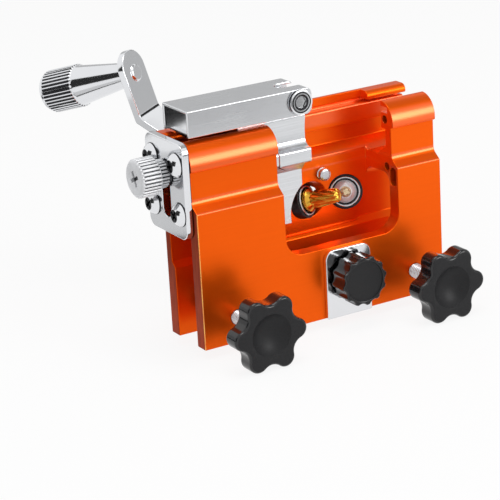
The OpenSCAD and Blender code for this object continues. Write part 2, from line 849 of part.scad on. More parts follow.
module adjusting_screw() {
    collar_r = adjust_head_d / 2 - 2;
    collar_l = 4.2;
    chamfer = 0.9;
    shank_l = 38;
    recess_l = 6.4;
    recess_w = 1.5;
    recess_d = 1.4;
    color("silver") translate([body_x0 - plate_t - pass, channel_y, adjust_h]) rotate([0, -90, 0]) {
        translate([0, 0, -shank_l]) cylinder(h = shank_l + cut, r = adjust_d / 2);
        fluted_disc(collar_r, collar_l, adjust_flutes - 6, 0.5, 0.4);
        translate([0, 0, collar_l]) difference() {
            intersection() {
                fluted_disc(adjust_head_d / 2, adjust_head_l, adjust_flutes, 0.55, 0.45);
                cylinder(h = adjust_head_l, r1 = adjust_head_d / 2 + adjust_head_l - chamfer,
                    r2 = adjust_head_d / 2 - chamfer);
            }
            for (turn = [25, 115])
                rotate(turn) translate([0, 0, adjust_head_l])
                    cube([recess_l, recess_w, 2 * recess_d], center = true);
        }
    }
}

// Clip on the adjusting screw behind the end plate
module adjusting_screw_clip() {
    clip_t = 1.4;
    color("dimgray") translate([body_x0 + pass, channel_y, adjust_h]) rotate([0, 90, 0])
        ring(0, clip_t, 5, adjust_d / 2);
}

// Moves a part that is drawn up from the front wall, axis out of the wall, to a clamp screw
module on_clamp(x, z) {
    translate([x, front_y, z]) rotate([90, 0, 0]) children();
}

// Screw from inside a knob to the socket of its foot
module clamp_screw(x, z, knob_back) {
    foot_back = foot_y - foot_t - front_y;
    color("silver") on_clamp(x, z) {
        translate([0, 0, -foot_back + pass]) cylinder(h = foot_back - pass + knob_back, r = clamp_d / 2);
        translate([0, 0, -foot_back - tip_l]) cylinder(h = tip_l + pass, r = tip_r);
    }
}

module clamp_foot(x, z) {
    chamfer = 0.6;
    color("dimgray") translate([x, foot_y, z]) rotate([90, 0, 0]) difference() {
        union() {
            cylinder(h = chamfer, r1 = foot_d / 2 - chamfer, r2 = foot_d / 2);
            translate([0, 0, chamfer]) cylinder(h = foot_t - chamfer, r = foot_d / 2);
        }
        translate([0, 0, foot_t - tip_l - run]) cylinder(h = tip_l + cut, r = tip_r + run);
    }
}

// Star knob with six lobes and a dished face; blend lets each hollow cross its lobes just short of a tangent
module star_outline() {
    half = 180 / lobes;
    blend = 0.02;
    lobe_at = star_d / 2 - star_lobe_r;
    valley_r = star_d / 2 - star_valley;
    chord = lobe_at * cos(half);
    hollow_r = (pow(lobe_at, 2) + pow(valley_r, 2) - 2 * chord * valley_r - pow(star_lobe_r, 2))
        / (2 * (star_lobe_r + chord - valley_r));
    hollow_at = valley_r + hollow_r;
    toward = hollow_at * [cos(half), sin(half)] - [lobe_at, 0];
    joint = [lobe_at, 0] + star_lobe_r * toward / norm(toward);
    difference() {
        circle(norm(joint));
        for (i = [0:lobes - 1])
            rotate((2 * i + 1) * half) translate([hollow_at, 0]) circle(hollow_r + blend);
    }
    for (i = [0:lobes - 1])
        rotate(2 * i * half) translate([lobe_at, 0]) circle(star_lobe_r);
}

module star_knob(x) {
    edge = 1.4;
    edge_r = star_d / 2 + 0.5;
    dish_depth = 3.6;
    dish_r = (pow(star_dish_d / 2, 2) + pow(dish_depth, 2)) / (2 * dish_depth);
    hub_r = clamp_d / 2 + 3;
    color("black") on_clamp(x, clamp_h) translate([0, 0, star_reach - star_t]) difference() {
        union() {
            intersection() {
                rotate(star_turn) linear_extrude(star_t) star_outline();
                rotate_extrude() {
                    span([0, 0], [edge_r - edge, star_t]);
                    span([0, edge], [edge_r, star_t - edge]);
                    for (z = [edge, star_t - edge])
                        translate([edge_r - edge, z]) circle(edge);
                }
            }
            translate([0, 0, -knob_hub_l]) cylinder(h = knob_hub_l + cut, r = hub_r);
        }
        translate([0, 0, star_t + dish_r - dish_depth]) sphere(dish_r);
        translate([0, 0, -knob_hub_l - cut]) cylinder(h = knob_hub_l + knob_grip + cut, r = clamp_d / 2);
    }
}

module left_star_knob() {
    star_knob(clamp_x0);
}

module left_clamp_screw() {
    clamp_screw(clamp_x0, clamp_h, star_reach - star_t + knob_grip);
}

module left_clamp_foot() {
    clamp_foot(clamp_x0, clamp_h);
}

module right_star_knob() {
    star_knob(clamp_x1);
}

module right_clamp_screw() {
    clamp_screw(clamp_x1, clamp_h, star_reach - star_t + knob_grip);
}

module right_clamp_foot() {
    clamp_foot(clamp_x1, clamp_h);
}

// Round fluted knob close to its plate, with a shallow round recess in its face
centre_gap = 1.5;
centre_flutes = 12;
centre_turn = 22;
module centre_knob() {
    rim = 2;
    face_d = 0.7;
    flute_r = 3.2;
    flute_depth = 0.9;
    chamfer = 0.8;
    color("black") on_clamp(centre_x, centre_h) translate([0, 0, pad_t + centre_gap]) difference() {
        intersection() {
            rotate(centre_turn) fluted_disc(centre_d / 2, centre_t, centre_flutes, flute_r, flute_depth);
            cylinder(h = centre_t, r1 = centre_d / 2 + centre_t - chamfer, r2 = centre_d / 2 - chamfer);
        }
        translate([0, 0, centre_t - face_d]) cylinder(h = face_d + cut, r = centre_d / 2 - rim);
        translate([0, 0, -cut]) cylinder(h = centre_t / 2 + cut, r = clamp_d / 2);
    }
}

module centre_screw() {
    clamp_screw(centre_x, centre_h, pad_t + centre_gap + centre_t / 2);
}

module centre_foot() {
    clamp_foot(centre_x, centre_h);
}

housing();
end_plate();
end_plate_screws();
stop_pin();
centre_plate();
left_guide_bush();
right_guide_bush();
tooth_stop_slide();
lever();
lever_pivot_screw();
lever_pivot_nut();
adjusting_screw();
adjusting_screw_clip();
left_quill();
left_front_bearing();
left_rear_bearing();
left_spindle();
left_burr();
crank_arm();
crank_nut();
handle_pin();
handle_grip();
right_quill();
right_front_bearing();
right_rear_bearing();
right_spindle();
right_nose();
right_burr();
left_star_knob();
left_clamp_screw();
left_clamp_foot();
right_star_knob();
right_clamp_screw();
right_clamp_foot();
centre_knob();
centre_screw();
centre_foot();
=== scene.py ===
"""Looks of a hand-cranked chainsaw sharpener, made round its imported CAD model."""

import math

import bmesh
import bpy
from mathutils import Matrix, Vector


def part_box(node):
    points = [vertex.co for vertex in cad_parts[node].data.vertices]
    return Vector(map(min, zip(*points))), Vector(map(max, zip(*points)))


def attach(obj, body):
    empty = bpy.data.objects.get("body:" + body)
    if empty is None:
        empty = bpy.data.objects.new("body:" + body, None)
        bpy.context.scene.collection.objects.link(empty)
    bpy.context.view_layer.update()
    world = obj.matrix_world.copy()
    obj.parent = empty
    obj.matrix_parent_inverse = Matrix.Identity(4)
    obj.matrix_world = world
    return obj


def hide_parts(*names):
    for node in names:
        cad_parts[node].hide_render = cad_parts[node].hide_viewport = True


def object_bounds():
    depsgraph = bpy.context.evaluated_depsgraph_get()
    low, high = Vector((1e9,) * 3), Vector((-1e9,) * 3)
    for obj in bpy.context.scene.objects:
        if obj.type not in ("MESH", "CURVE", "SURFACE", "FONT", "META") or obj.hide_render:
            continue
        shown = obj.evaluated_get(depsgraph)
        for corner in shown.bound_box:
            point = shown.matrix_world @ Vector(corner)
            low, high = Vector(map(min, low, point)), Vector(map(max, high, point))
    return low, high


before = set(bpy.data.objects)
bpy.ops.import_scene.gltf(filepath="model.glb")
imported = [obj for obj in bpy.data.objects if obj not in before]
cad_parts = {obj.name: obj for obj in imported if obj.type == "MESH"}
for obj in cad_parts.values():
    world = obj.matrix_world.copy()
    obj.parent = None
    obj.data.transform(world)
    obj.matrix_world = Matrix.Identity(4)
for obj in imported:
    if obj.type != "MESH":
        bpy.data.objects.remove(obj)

bl_info = {
    "name": "Chainsaw sharpener",
    "version": (1, 0, 0),
    "blender": (4, 5, 0),
    "location": "View3D > Sidebar > Sharpener",
    "description": "Makes the pieces, finishes and stage of a hand-cranked chainsaw sharpener",
    "category": "Object",
}

CAD_BOX = [list(corner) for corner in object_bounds()]

# Lengths below are millimetres, in the frame of the CAD model
MM = 0.001
FULL_TURN = 2 * math.pi
LEFT, RIGHT = -1, 1
SIDES = ((LEFT, "left"), (RIGHT, "right"))

# A ring of this radius closes on the axis
POLE = 0.001

# Spindle axes: a point on the bush face, and the two angles
SPINDLE_MIDDLE = Vector((16, 3, 29.5))
SPINDLE_PITCH = 9
FILE_ANGLE = 30
TILT = 15
BUSH_R, BUSH_L = 7, 26
QUILL_R, QUILL_BACK, QUILL_FRONT = 6, -38, 0.6
BEARING_R, BEARING_W, BEARING_FRONT = 5.3, 4, -2
SHAFT_BORE_R = 3.05
COLLAR_R = 4.6

# Crank and handle
CRANK_LEAN = 5.1
CRANK_R = 65
HANDLE_BACK = 60.3
HANDLE_L = 41

# Clamp screws, measured out from the front wall
FRONT_WALL = -20
STAR_KNOBS = (("left", -40.1), ("right", 41.8))
STAR_H = -1.3
STAR_BACK, STAR_FACE = 16.8, 24.8
CENTRE_X, CENTRE_H = 10.2, 4.7
CENTRE_BACK, CENTRE_FACE = 3.5, 12
SCREW_R = 3
SCREW_TIP = -14
STAR_SCREW_END = 19.8
CENTRE_SCREW_END = 7.75

# End plate, window and adjusting screw
PLATE_FACE = -58
HOUSING_END, WINDOW_END = -55, 34.8
CHANNEL_Y = -2.6
ADJUST_H = 55.4
PLATE_SCREWS = [(side * y, z) for side in (LEFT, RIGHT) for y, z in ((9.4, 60.4), (10, 41.4))]
PIVOT = Vector((-3.4, -12.4, 74.6))
STOP_PIN = Vector((14, 7.3, 39.4))

# Heights in metres of the bands along the housing with more coat, placed where highlights fall, so a
# painted highlight in part: low, high, softness
HIGHLIGHT_COAT_BANDS = ((0.0590, 0.0640, 0.0012), (0.0456, 0.0470, 0.0003), (0.0420, 0.0426, 0.0002))

# Stage, in metres
MIDDLE = Vector((0, 0, 0.03))
WHITE = (1, 1, 1, 1)


def node_width(node):
    """Width of a CAD node along the bar, in metres."""
    low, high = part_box(node)
    return high.x - low.x


def length(name, description, default):
    """A size of the sharpener, in metres."""
    return bpy.props.FloatProperty(
        name=name, description=description, default=default, min=0, precision=5,
        unit="LENGTH", subtype="DISTANCE")


def colour(name, description, default):
    """A colour of the sharpener, in linear RGB."""
    return bpy.props.FloatVectorProperty(
        name=name, description=description, default=default, size=3, min=0, max=1,
        subtype="COLOR")


class SharpenerSizes(bpy.types.PropertyGroup):
    """Sizes that can be changed without moving a piece off its CAD place."""

    housing_edge: length("Housing edge", "Rounding of the extrusion's cut edges", 0.00028)
    plate_edge: length("Plate edge", "Rounding of the plated plates' edges", 0.0004)
    lever_edge: length("Lever edge", "Rounding of the lever's edges", 0.0004)
    slide_edge: length("Slide edge", "Rounding of the tooth-stop slide's edges", 0.0003)
    crank_edge: length("Crank edge", "Rounding of the crank bar's edges", 0.00045)
    small_edge: length("Small edge", "Rounding of nuts, feet and shafts", 0.00018)
    thread_pitch: length("Thread pitch", "Pitch of the clamp and adjusting screws", 0.001)
    thread_depth: length("Thread depth", "Depth of their threads", 0.0004)
    star_width: length("Star knob", "Width over two lobes of a star knob", node_width("left_star_knob"))
    star_edge: length("Star edge", "Rounding of the star knobs' rims", 0.0013)
    centre_width: length("Centre knob", "Width of the centre knob", node_width("centre_knob"))


class SharpenerColours(bpy.types.PropertyGroup):
    """Colours of the finishes and the stage."""

    orange: colour("Orange", "Anodised housing", (0.88, 0.108, 0.002))
    deep_orange: colour("Deep orange", "Darker streaks of the anodised housing", (0.72, 0.072, 0.0015))
    # Painted shade in part: the sawn left end is darker because it faces away from the lamps
    sawn: colour("Sawn orange", "Sawn end of the housing", (0.42, 0.045, 0.001))
    # Painted highlight: a paler gold on the housing's front left edge where it catches the light
    edge: colour("Edge orange", "Edge of the housing where the dye is thin", (1.0, 0.52, 0.13))
    chrome: colour("Chrome", "Plated steel", (0.78, 0.79, 0.81))
    aluminium: colour("Aluminium", "Polished aluminium", (0.72, 0.73, 0.75))
    steel: colour("Steel", "Turned steel", (0.60, 0.61, 0.63))
    # Also the black of painted shade in recesses, grooves and joints of the plated parts
    blackened: colour("Blackened steel", "Bushes, feet and bearing rings", (0.025, 0.025, 0.028))
    black: colour("Black", "Moulded knobs", (0.008, 0.008, 0.009))
    face_black: colour("Face black", "Satin faces of the knobs", (0.010, 0.010, 0.011))
    gold: colour("Gold", "Hard coating of the left burr", (0.75, 0.42, 0.055))
    cream: colour("Cream", "Coating of the right burr", (0.80, 0.68, 0.44))
    floor: colour("Floor", "Floor of the stage", (0.90, 0.90, 0.90))


class Value:
    """A socket of a finish; sums written with it add Math nodes."""

    def __init__(self, finish, socket):
        self.finish = finish
        self.socket = socket

    def _sum(self, operation, left, right):
        return self.finish.node("ShaderNodeMath", {0: left, 1: right}, operation=operation)

    def __add__(self, other):
        return self._sum("ADD", self, other)

    def __rsub__(self, other):
        return self._sum("SUBTRACT", other, self)

    def __mul__(self, other):
        return self._sum("MULTIPLY", self, other)


class Finish:
    """A material, or a world, whose nodes are written as expressions."""

    def __init__(self, name, owners=None):
        self.owner = (bpy.data.materials if owners is None else owners).new(name)
        self.owner.use_nodes = True
        self.tree = self.owner.node_tree
        self.tree.nodes.clear()

    def node(self, kind, sockets=None, out=0, **settings):
        """Adds a node, sets its settings, then its sockets' values or links."""
        made = self.tree.nodes.new(kind)
        for key, setting in settings.items():
            setattr(made, key, setting)
        for key, value in (sockets or {}).items():
            if isinstance(value, Value):
                self.tree.links.new(value.socket, made.inputs[key])
            else:
                made.inputs[key].default_value = value
        return Value(self, made.outputs[out]) if made.outputs else None

    def noise(self, scale, detail, turn=(0, 0, 0)):
        """Noise over object coordinates, turned and then scaled, alike or along each axis."""
        scale = scale if isinstance(scale, tuple) else (scale, scale, scale)
        at = self.node("ShaderNodeTexCoord", out="Object")
        turned = self.node("ShaderNodeMapping", {"Vector": at, "Rotation": turn})
        spread = self.node("ShaderNodeMapping", {"Vector": turned, "Scale": scale})
        return self.node("ShaderNodeTexNoise", {
            "Vector": spread, "Scale": 1, "Detail": detail, "Roughness": 0.6})

    def height(self):
        """Height above the origin, in metres."""
        at = self.node("ShaderNodeTexCoord", out="Object")
        return self.node("ShaderNodeSeparateXYZ", {0: at}, out="Z")

    def between(self, value, low, high):
        """Spreads the part of a value from low to high over 0 to 1."""
        return self.node("ShaderNodeMapRange", {0: value, 1: low, 2: high}, clamp=True)

    def band(self, value, low, high, soft):
        """1 between two values, 0 outside them."""
        return self.between(value, low - soft, low) * (1 - self.between(value, high, high + soft))

    def mixed(self, factor, first, second):
        """The first colour where the factor is 0, the second where it is 1."""
        first_tint, second_tint, mixed_tint = 6, 7, 2
        return self.node("ShaderNodeMix", {0: factor, first_tint: (*first, 1), second_tint: (*second, 1)},
                         mixed_tint, data_type="RGBA")

    def seen(self):
        """1 for rays from the camera, from reflections and through glass, 0 for the rest."""
        path = "ShaderNodeLightPath"
        return (self.node(path, out="Is Camera Ray") + self.node(path, out="Is Glossy Ray")
                + self.node(path, out="Is Transmission Ray"))

    def surface(self, base, roughness, bump, strength, depth, **others):
        """Closes the finish with one Principled shader; others are more of its sockets."""
        normal = self.node("ShaderNodeBump", {"Strength": strength, "Distance": depth, "Height": bump})
        sockets = {"Base Color": base, "Roughness": roughness, "Normal": normal}
        for key, value in others.items():
            sockets[key.replace("_", " ").title().replace("Ior", "IOR")] = value
        shader = self.node("ShaderNodeBsdfPrincipled", sockets)
        self.node("ShaderNodeOutputMaterial", {"Surface": shader})
        return self.owner


def blend(values, shares, start=0):
    """A start plus every value by its share; a value with no share is left out."""
    for value, share in zip(values, shares):
        if share:
            start = value * share + start
    return start


def anodised(name, colours):
    """Orange anodising over drawn aluminium: lines along the extrusion and faint cloudiness."""
    finish = Finish(name)
    drawn, grain, cloud = finish.noise((14, 900, 900), 5), finish.noise(2600, 2), finish.noise(28, 3)
    shade = finish.between(blend((drawn, cloud), (0.5, 0.5)), 0.38, 0.72)
    base = finish.mixed(shade * 0.25, colours.orange, colours.deep_orange)
    height, coat_amount, highlight_coat = finish.height(), 0.04, 0.9
    # More coat in bands on the lips and the step where highlights fall: painted highlight in part
    for band in HIGHLIGHT_COAT_BANDS:
        coat_amount = finish.band(height, *band) * highlight_coat + coat_amount
    rough, bump = blend((drawn, grain), (0.08, 0.05), 0.25), blend((drawn, grain), (0.4, 0.6))
    return finish.surface(base, rough, bump, 0.06, 0.00006, metallic=0.78, specular_ior_level=0.1,
                          coat_weight=coat_amount, coat_roughness=0.25)


def plated(name, colours):
    """Bright plating with faint smears and hairline marks."""
    finish = Finish(name)
    smear = finish.noise(60, 4)
    hair = finish.noise((120, 2400, 2400), 3, turn=(0.4, 0.7, 0.2))
    marks = finish.between(hair, 0.62, 0.78)
    base = finish.mixed(finish.between(smear, 0.3, 0.75) * 0.12, colours.chrome, (0.56, 0.58, 0.62))
    rough, bump = blend((smear, marks), (0.07, 0.05), 0.07), blend((smear, marks), (0.7, 0.3))
    return finish.surface(base, rough, bump, 0.05, 0.00006, metallic=1.0)


def grained(name, colours, tint, stain, scales, amount, rough, rough_by, bump,
            details=(3, 3), stain_by=(0, 1), spread=(0.35, 0.7), **others):
    """A finish of fine marks, the first noise, and mostly a second noise for cloudiness.

    A stain lies over the tint where the noises, blended by stain_by, are in the spread. The shares in
    rough_by are those of the noises and then of the stain. The marks are the bump.
    """
    finish = Finish(name)
    values = [finish.noise(scale, detail) for scale, detail in zip(scales, details)]
    values.append(finish.between(blend(values, stain_by), *spread))
    first, second = (getattr(colours, part) if isinstance(part, str) else part for part in (tint, stain))
    base = finish.mixed(values[-1] * amount, first, second)
    return finish.surface(base, blend(values, rough_by, rough), values[0], *bump, **others)


BY_MARKS = (1,)
GRAINED = {
    # The sawn left end: rougher, and darker as painted shade
    "sawn_orange": dict(
        tint="sawn", stain=(0.20, 0.016, 0.001), scales=((700, 700, 90), 60), details=(4, 3),
        stain_by=(0.6, 0.4), amount=1, rough=0.42, rough_by=(0.12,), bump=(0.10, 0.00006),
        metallic=0.96, specular_ior_level=0.1),
    # Painted highlight on the housing's front left edge
    "edge_orange": dict(
        tint="edge", stain="orange", scales=(300,), stain_by=BY_MARKS, amount=0.6,
        rough=0.22, rough_by=(0.1,), bump=(0.05, 0.00005), metallic=0.7),
    "polished_aluminium": dict(
        tint="aluminium", stain=(0.50, 0.51, 0.53), scales=((18, 1600, 1600), 45), details=(5, 3),
        stain_by=BY_MARKS, amount=0.28, rough=0.16, rough_by=(0.12, 0.06), bump=(0.08, 0.00006),
        metallic=1.0),
    "steel": dict(
        tint="steel", stain=(0.40, 0.41, 0.43), scales=(900, 70), spread=(0.3, 0.7), amount=0.35,
        rough=0.20, rough_by=(0.14,), bump=(0.10, 0.00005), metallic=1.0),
    # Blackened steel, which is also the painted shade in recesses, grooves and joints
    "blackened_steel": dict(
        tint="blackened", stain=(0.10, 0.10, 0.11), scales=(800, 130), details=(3, 4),
        spread=(0.5, 0.8), amount=0.5, rough=0.28, rough_by=(0.16,), bump=(0.10, 0.00005), metallic=0.8),
    "black_plastic": dict(
        tint="black", stain=(0.03, 0.03, 0.032), scales=(190, 1500), details=(2, 2),
        spread=(0.6, 0.85), amount=0.25, rough=0.13, rough_by=(0.08, 0, 0.08), bump=(0.06, 0.0001),
        specular_ior_level=0.4, coat_weight=0.2, coat_roughness=0.08),
    "black_plastic_face": dict(
        tint="face_black", stain=(0.022, 0.022, 0.023), scales=(2200, 60), stain_by=BY_MARKS, amount=0.5,
        rough=0.34, rough_by=(0.06, 0.10), bump=(0.12, 0.00006), specular_ior_level=0.22),
    "faced_steel": dict(
        tint="chrome", stain=(0.45, 0.45, 0.46), scales=(1300, 160), amount=0.45,
        rough=0.34, rough_by=(0.12,), bump=(0.10, 0.00005), metallic=0.35),
    "gold": dict(
        tint="gold", stain=(0.45, 0.20, 0.02), scales=(500, 120), details=(4, 3), spread=(0.3, 0.75),
        amount=0.5, rough=0.16, rough_by=(0.14,), bump=(0.12, 0.00006), metallic=1.0),
    "cream": dict(
        tint="cream", stain=(0.50, 0.38, 0.20), scales=(1400,), stain_by=BY_MARKS, spread=(0.35, 0.75),
        amount=1, rough=0.26, rough_by=(0.2,), bump=(0.25, 0.0001), metallic=0.45),
}
# Chrome, then black for painted shade in recesses, grooves and joints
CHROME_AND_PAINTED_SHADE = ["chrome", "blackened_steel"]


def finish_of(name):
    """The finish of that name, made when a piece first asks for it."""
    made = bpy.data.materials.get("finish_" + name)
    if made is None:
        make = {"orange_anodised": anodised, "chrome": plated}.get(name, grained)
        made = make("finish_" + name, bpy.context.scene.sharpener_colours, **GRAINED.get(name, {}))
    return made


def spindle_place(side):
    """Stands +Z on a spindle axis, towards the teeth, from the bush face."""
    middle = SPINDLE_MIDDLE + Vector((side * SPINDLE_PITCH, 0, 0))
    return (Matrix.Translation(middle)
            @ Matrix.Rotation(math.radians(-90 - side * FILE_ANGLE), 4, "Z")
            @ Matrix.Rotation(math.radians(90 - TILT), 4, "Y"))


def handle_place():
    """Stands +Z on the handle's axis, away from the crank bar."""
    return (spindle_place(LEFT)
            @ Matrix.Rotation(math.radians(180 + CRANK_LEAN), 4, "Z")
            @ Matrix.Translation((CRANK_R, 0, -HANDLE_BACK))
            @ Matrix.Rotation(math.pi, 4, "X"))


def wall_place(x, z, y=FRONT_WALL):
    """Stands +Z out of the front, from a point at depth y."""
    return Matrix.Translation((x, y, z)) @ Matrix.Rotation(math.pi / 2, 4, "X")


def plate_place(y, z, x=PLATE_FACE):
    """Stands +Z out of the end plate."""
    return Matrix.Translation((x, CHANNEL_Y + y, z)) @ Matrix.Rotation(-math.pi / 2, 4, "Y")


def cad_shape(node):
    """A merged copy of a CAD node, in millimetres, with its flat faces whole again."""
    bm = bmesh.new()
    bm.from_mesh(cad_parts[node].data)
    bmesh.ops.scale(bm, vec=Vector((1, 1, 1)) / MM, verts=bm.verts)
    bmesh.ops.remove_doubles(bm, verts=bm.verts, dist=0.001)
    bmesh.ops.dissolve_limit(bm, angle_limit=math.radians(0.4), use_dissolve_boundaries=False,
                             verts=bm.verts, edges=bm.edges)
    return bm


def edges_between(bm, least, most=180):
    """Edges whose two faces turn by more than least and up to most degrees."""
    return [edge for edge in bm.edges if len(edge.link_faces) == 2
            and math.radians(least) < edge.calc_face_angle(0) <= math.radians(most)]


def bevel(bm, edges, width, segments):
    """Rounds those edges."""
    bmesh.ops.bevel(bm, geom=edges, offset=width, offset_type="OFFSET", affect="EDGES",
                    segments=segments, profile=0.5, material=-1, clamp_overlap=False)


def round_edges(bm, edge, segments=2):
    """Rounds every sharp edge; the rounding is in metres."""
    sharp = 28
    bevel(bm, edges_between(bm, sharp), edge / MM, segments)
    bmesh.ops.remove_doubles(bm, verts=bm.verts, dist=0.0005)


def ring_edges(ring):
    """Edges that join the vertices of one ring, in the same order each run."""
    members = set(ring)
    return list(dict.fromkeys(
        edge for vert in ring for edge in vert.link_edges if edge.other_vert(vert) in members))


def stack(bm, segments, stations):
    """Stacks rings along Z and returns the last one.

    A station is (height, radius) or (height, radius, twist); a radius may be a function of the angle.
    """
    angle_of = bm.verts.layers.float.get("angle") or bm.verts.layers.float.new("angle")
    ring = bmesh.ops.create_circle(bm, cap_ends=False, segments=segments, radius=1)["verts"]
    for vert in ring:
        vert[angle_of] = math.atan2(vert.co.y, vert.co.x)
    for number, station in enumerate(stations):
        height, radius, twist = (*station, 0)[:3]
        if number:
            grown = bmesh.ops.extrude_edge_only(bm, edges=ring_edges(ring))["geom"]
            ring = [part for part in grown if isinstance(part, bmesh.types.BMVert)]
        for vert in ring:
            angle = vert[angle_of]
            reach = radius(angle) if callable(radius) else radius
            vert.co = (reach * math.cos(angle + twist), reach * math.sin(angle + twist), height)
    return ring


def close_up(bm):
    """Merges poles and seams and turns every face outwards."""
    bmesh.ops.remove_doubles(bm, verts=bm.verts, dist=0.002)
    bmesh.ops.recalc_face_normals(bm, faces=bm.faces)


def turned_shape(place, stations, segments=96):
    """A revolved shape; its outline starts and ends on the axis or at the same station."""
    bm = bmesh.new()
    stack(bm, segments, stations)
    close_up(bm)
    bm.transform(place)
    return bm


def recess(bm, ring, outline, depth):
    """Closes a flat ring with a face that has a recess of that outline."""
    height = ring[0].co.z
    rim = [bm.verts.new((x, y, height)) for x, y in outline]
    rim_edges = [bm.edges.new((vert, rim[number - 1])) for number, vert in enumerate(rim)]
    bmesh.ops.triangle_fill(bm, use_beauty=True, edges=ring_edges(ring) + rim_edges)
    sunk = bmesh.ops.extrude_edge_only(bm, edges=rim_edges)["geom"]
    floor = [part for part in sunk if isinstance(part, bmesh.types.BMVert)]
    bmesh.ops.translate(bm, vec=(0, 0, -depth), verts=floor)
    bmesh.ops.contextual_create(bm, geom=ring_edges(floor))


def rounded_outline(half_l, half_w, corner_r, steps=6):
    """Outline of a rectangle with round corners."""
    points = []
    for quarter, (along, across) in enumerate(((1, 1), (-1, 1), (-1, -1), (1, -1))):
        for k in range(steps + 1):
            bend = (quarter + k / steps) * math.pi / 2
            points.append((along * (half_l - corner_r) + corner_r * math.cos(bend),
                           across * (half_w - corner_r) + corner_r * math.sin(bend)))
    return points


def sink_pocket(bm, place, half_l, half_w, corner_r, depth):
    """Sinks a pocket in the flat face that lies at that place and looks along its +Z."""
    bm.transform(place.inverted())
    margin, near = 0.15, 0.01
    reach = (half_l + margin, half_w + margin)
    for axis, side in ((0, -1), (0, 1), (1, -1), (1, 1)):
        cut = Vector((0, 0, 0))
        cut[axis] = side * reach[axis]
        flat = [face for face in bm.faces if all(abs(vert.co.z) < near for vert in face.verts)]
        rims = dict.fromkeys(part for face in flat for part in (*face.edges, *face.verts))
        bmesh.ops.bisect_plane(bm, geom=[*flat, *rims], dist=0.001, plane_co=cut, plane_no=cut)
    inside = [face for face in bm.faces if all(
        abs(vert.co.z) < near and abs(vert.co.x) < reach[0] + near and abs(vert.co.y) < reach[1] + near
        for vert in face.verts)]
    middle = max(inside, key=lambda face: face.calc_area())
    ring = list(middle.verts)
    bm.faces.remove(middle)
    recess(bm, ring, rounded_outline(half_l, half_w, corner_r), depth)
    bmesh.ops.recalc_face_normals(bm, faces=bm.faces)
    bm.transform(place)


def cross_outline(arm, width, turn):
    """Outline of a cross recess."""
    half, reach = width / 2, arm / 2
    corner = [Vector((reach, -half)), Vector((reach, half)), Vector((half, half))]
    points = []
    for quarter in range(4):
        spin = Matrix.Rotation(math.radians(turn + 90 * quarter), 2)
        points += [spin @ point for point in corner]
    return points


def hexagon(radius):
    """Outline of a hexagon socket."""
    return [(radius * math.cos(k * math.pi / 3), radius * math.sin(k * math.pi / 3)) for k in range(6)]


def fluted(radius, count, flute_r, depth, start=0):
    """Radius, by angle, of a disc with round flutes cut in its rim."""
    centre = radius + flute_r - depth
    pitch = FULL_TURN / count

    def reach(angle):
        off = abs((angle - math.radians(start) + pitch / 2) % pitch - pitch / 2)
        across = centre * math.sin(off)
        if across >= flute_r:
            return radius
        return min(radius, centre * math.cos(off) - math.sqrt(flute_r ** 2 - across ** 2))
    return reach


def star(width, lobe_r=3.9, valley=3.6, lobes=6, start=-0.7):
    """Radius, by angle, of a star with round lobes and hollows that meet them smoothly."""
    half = math.pi / lobes
    lobe_at, valley_r = width / 2 - lobe_r, width / 2 - valley
    chord = lobe_at * math.cos(half)
    hollow_r = ((lobe_at ** 2 + valley_r ** 2 - 2 * chord * valley_r - lobe_r ** 2)
                / (2 * (lobe_r + chord - valley_r)))
    hollow_at = valley_r + hollow_r
    toward = Vector((hollow_at * math.cos(half) - lobe_at, hollow_at * math.sin(half)))
    joint = Vector((lobe_at, 0)) + toward.normalized() * lobe_r
    meet = math.atan2(joint.y, joint.x)

    def reach(angle):
        off = abs((angle - math.radians(start) + half) % (2 * half) - half)
        if off <= meet:
            return lobe_at * math.cos(off) + math.sqrt(lobe_r ** 2 - (lobe_at * math.sin(off)) ** 2)
        off = half - off
        return hollow_at * math.cos(off) - math.sqrt(hollow_r ** 2 - (hollow_at * math.sin(off)) ** 2)
    return reach


def less(radius, inset):
    """The same radius, drawn in by an inset."""
    return lambda angle: radius(angle) - inset


def rounded_rim(radius, height, edge, up, steps=5):
    """Stations over a rounded rim, from the side to the face when up is 1, the other way when -1."""
    bends = [k * math.pi / 2 / steps for k in range(steps + 1)]
    rim = [(height - up * edge * (1 - math.sin(bend)), less(radius, edge * (1 - math.cos(bend))))
           for bend in bends]
    return rim if up > 0 else rim[::-1]


def thread(low, high, sizes):
    """Stations of a right-hand thread between two heights."""
    pitch, depth = sizes.thread_pitch / MM, sizes.thread_depth / MM
    turn_steps, slope = 7, 1.25
    steps = int((high - low) / pitch * turn_steps)

    def station(height):
        fade = min(1, (height - low) / pitch, (high - height) / pitch)

        def reach(angle):
            phase = (height / pitch - angle / FULL_TURN) % 1
            groove = max(0, 1 - abs(2 * phase - 1) * slope)
            return SCREW_R - depth * fade * groove
        return height, reach
    return [station(low + (high - low) * k / steps) for k in range(steps + 1)]


def mark_faces(bm, number, chosen):
    """Gives a later finish to faces by their middle and normal."""
    bm.normal_update()
    for part in bm.faces:
        if chosen(part.calc_center_median(), part.normal):
            part.material_index = number


def second_finish(bm, inside):
    """Gives the second finish to faces by their radius, height and lean, before the shape is placed."""
    mark_faces(bm, 1, lambda middle, normal: inside(middle.xy.length, middle.z, normal.z))


def add_object(name, bm, finishes):
    """Turns the shape into an object of the scene with those materials."""
    mesh = bpy.data.meshes.new(name)
    bm.to_mesh(mesh)
    bm.free()
    for finish in finishes:
        mesh.materials.append(finish)
    made = bpy.data.objects.new(name, mesh)
    bpy.context.scene.collection.objects.link(made)
    return made


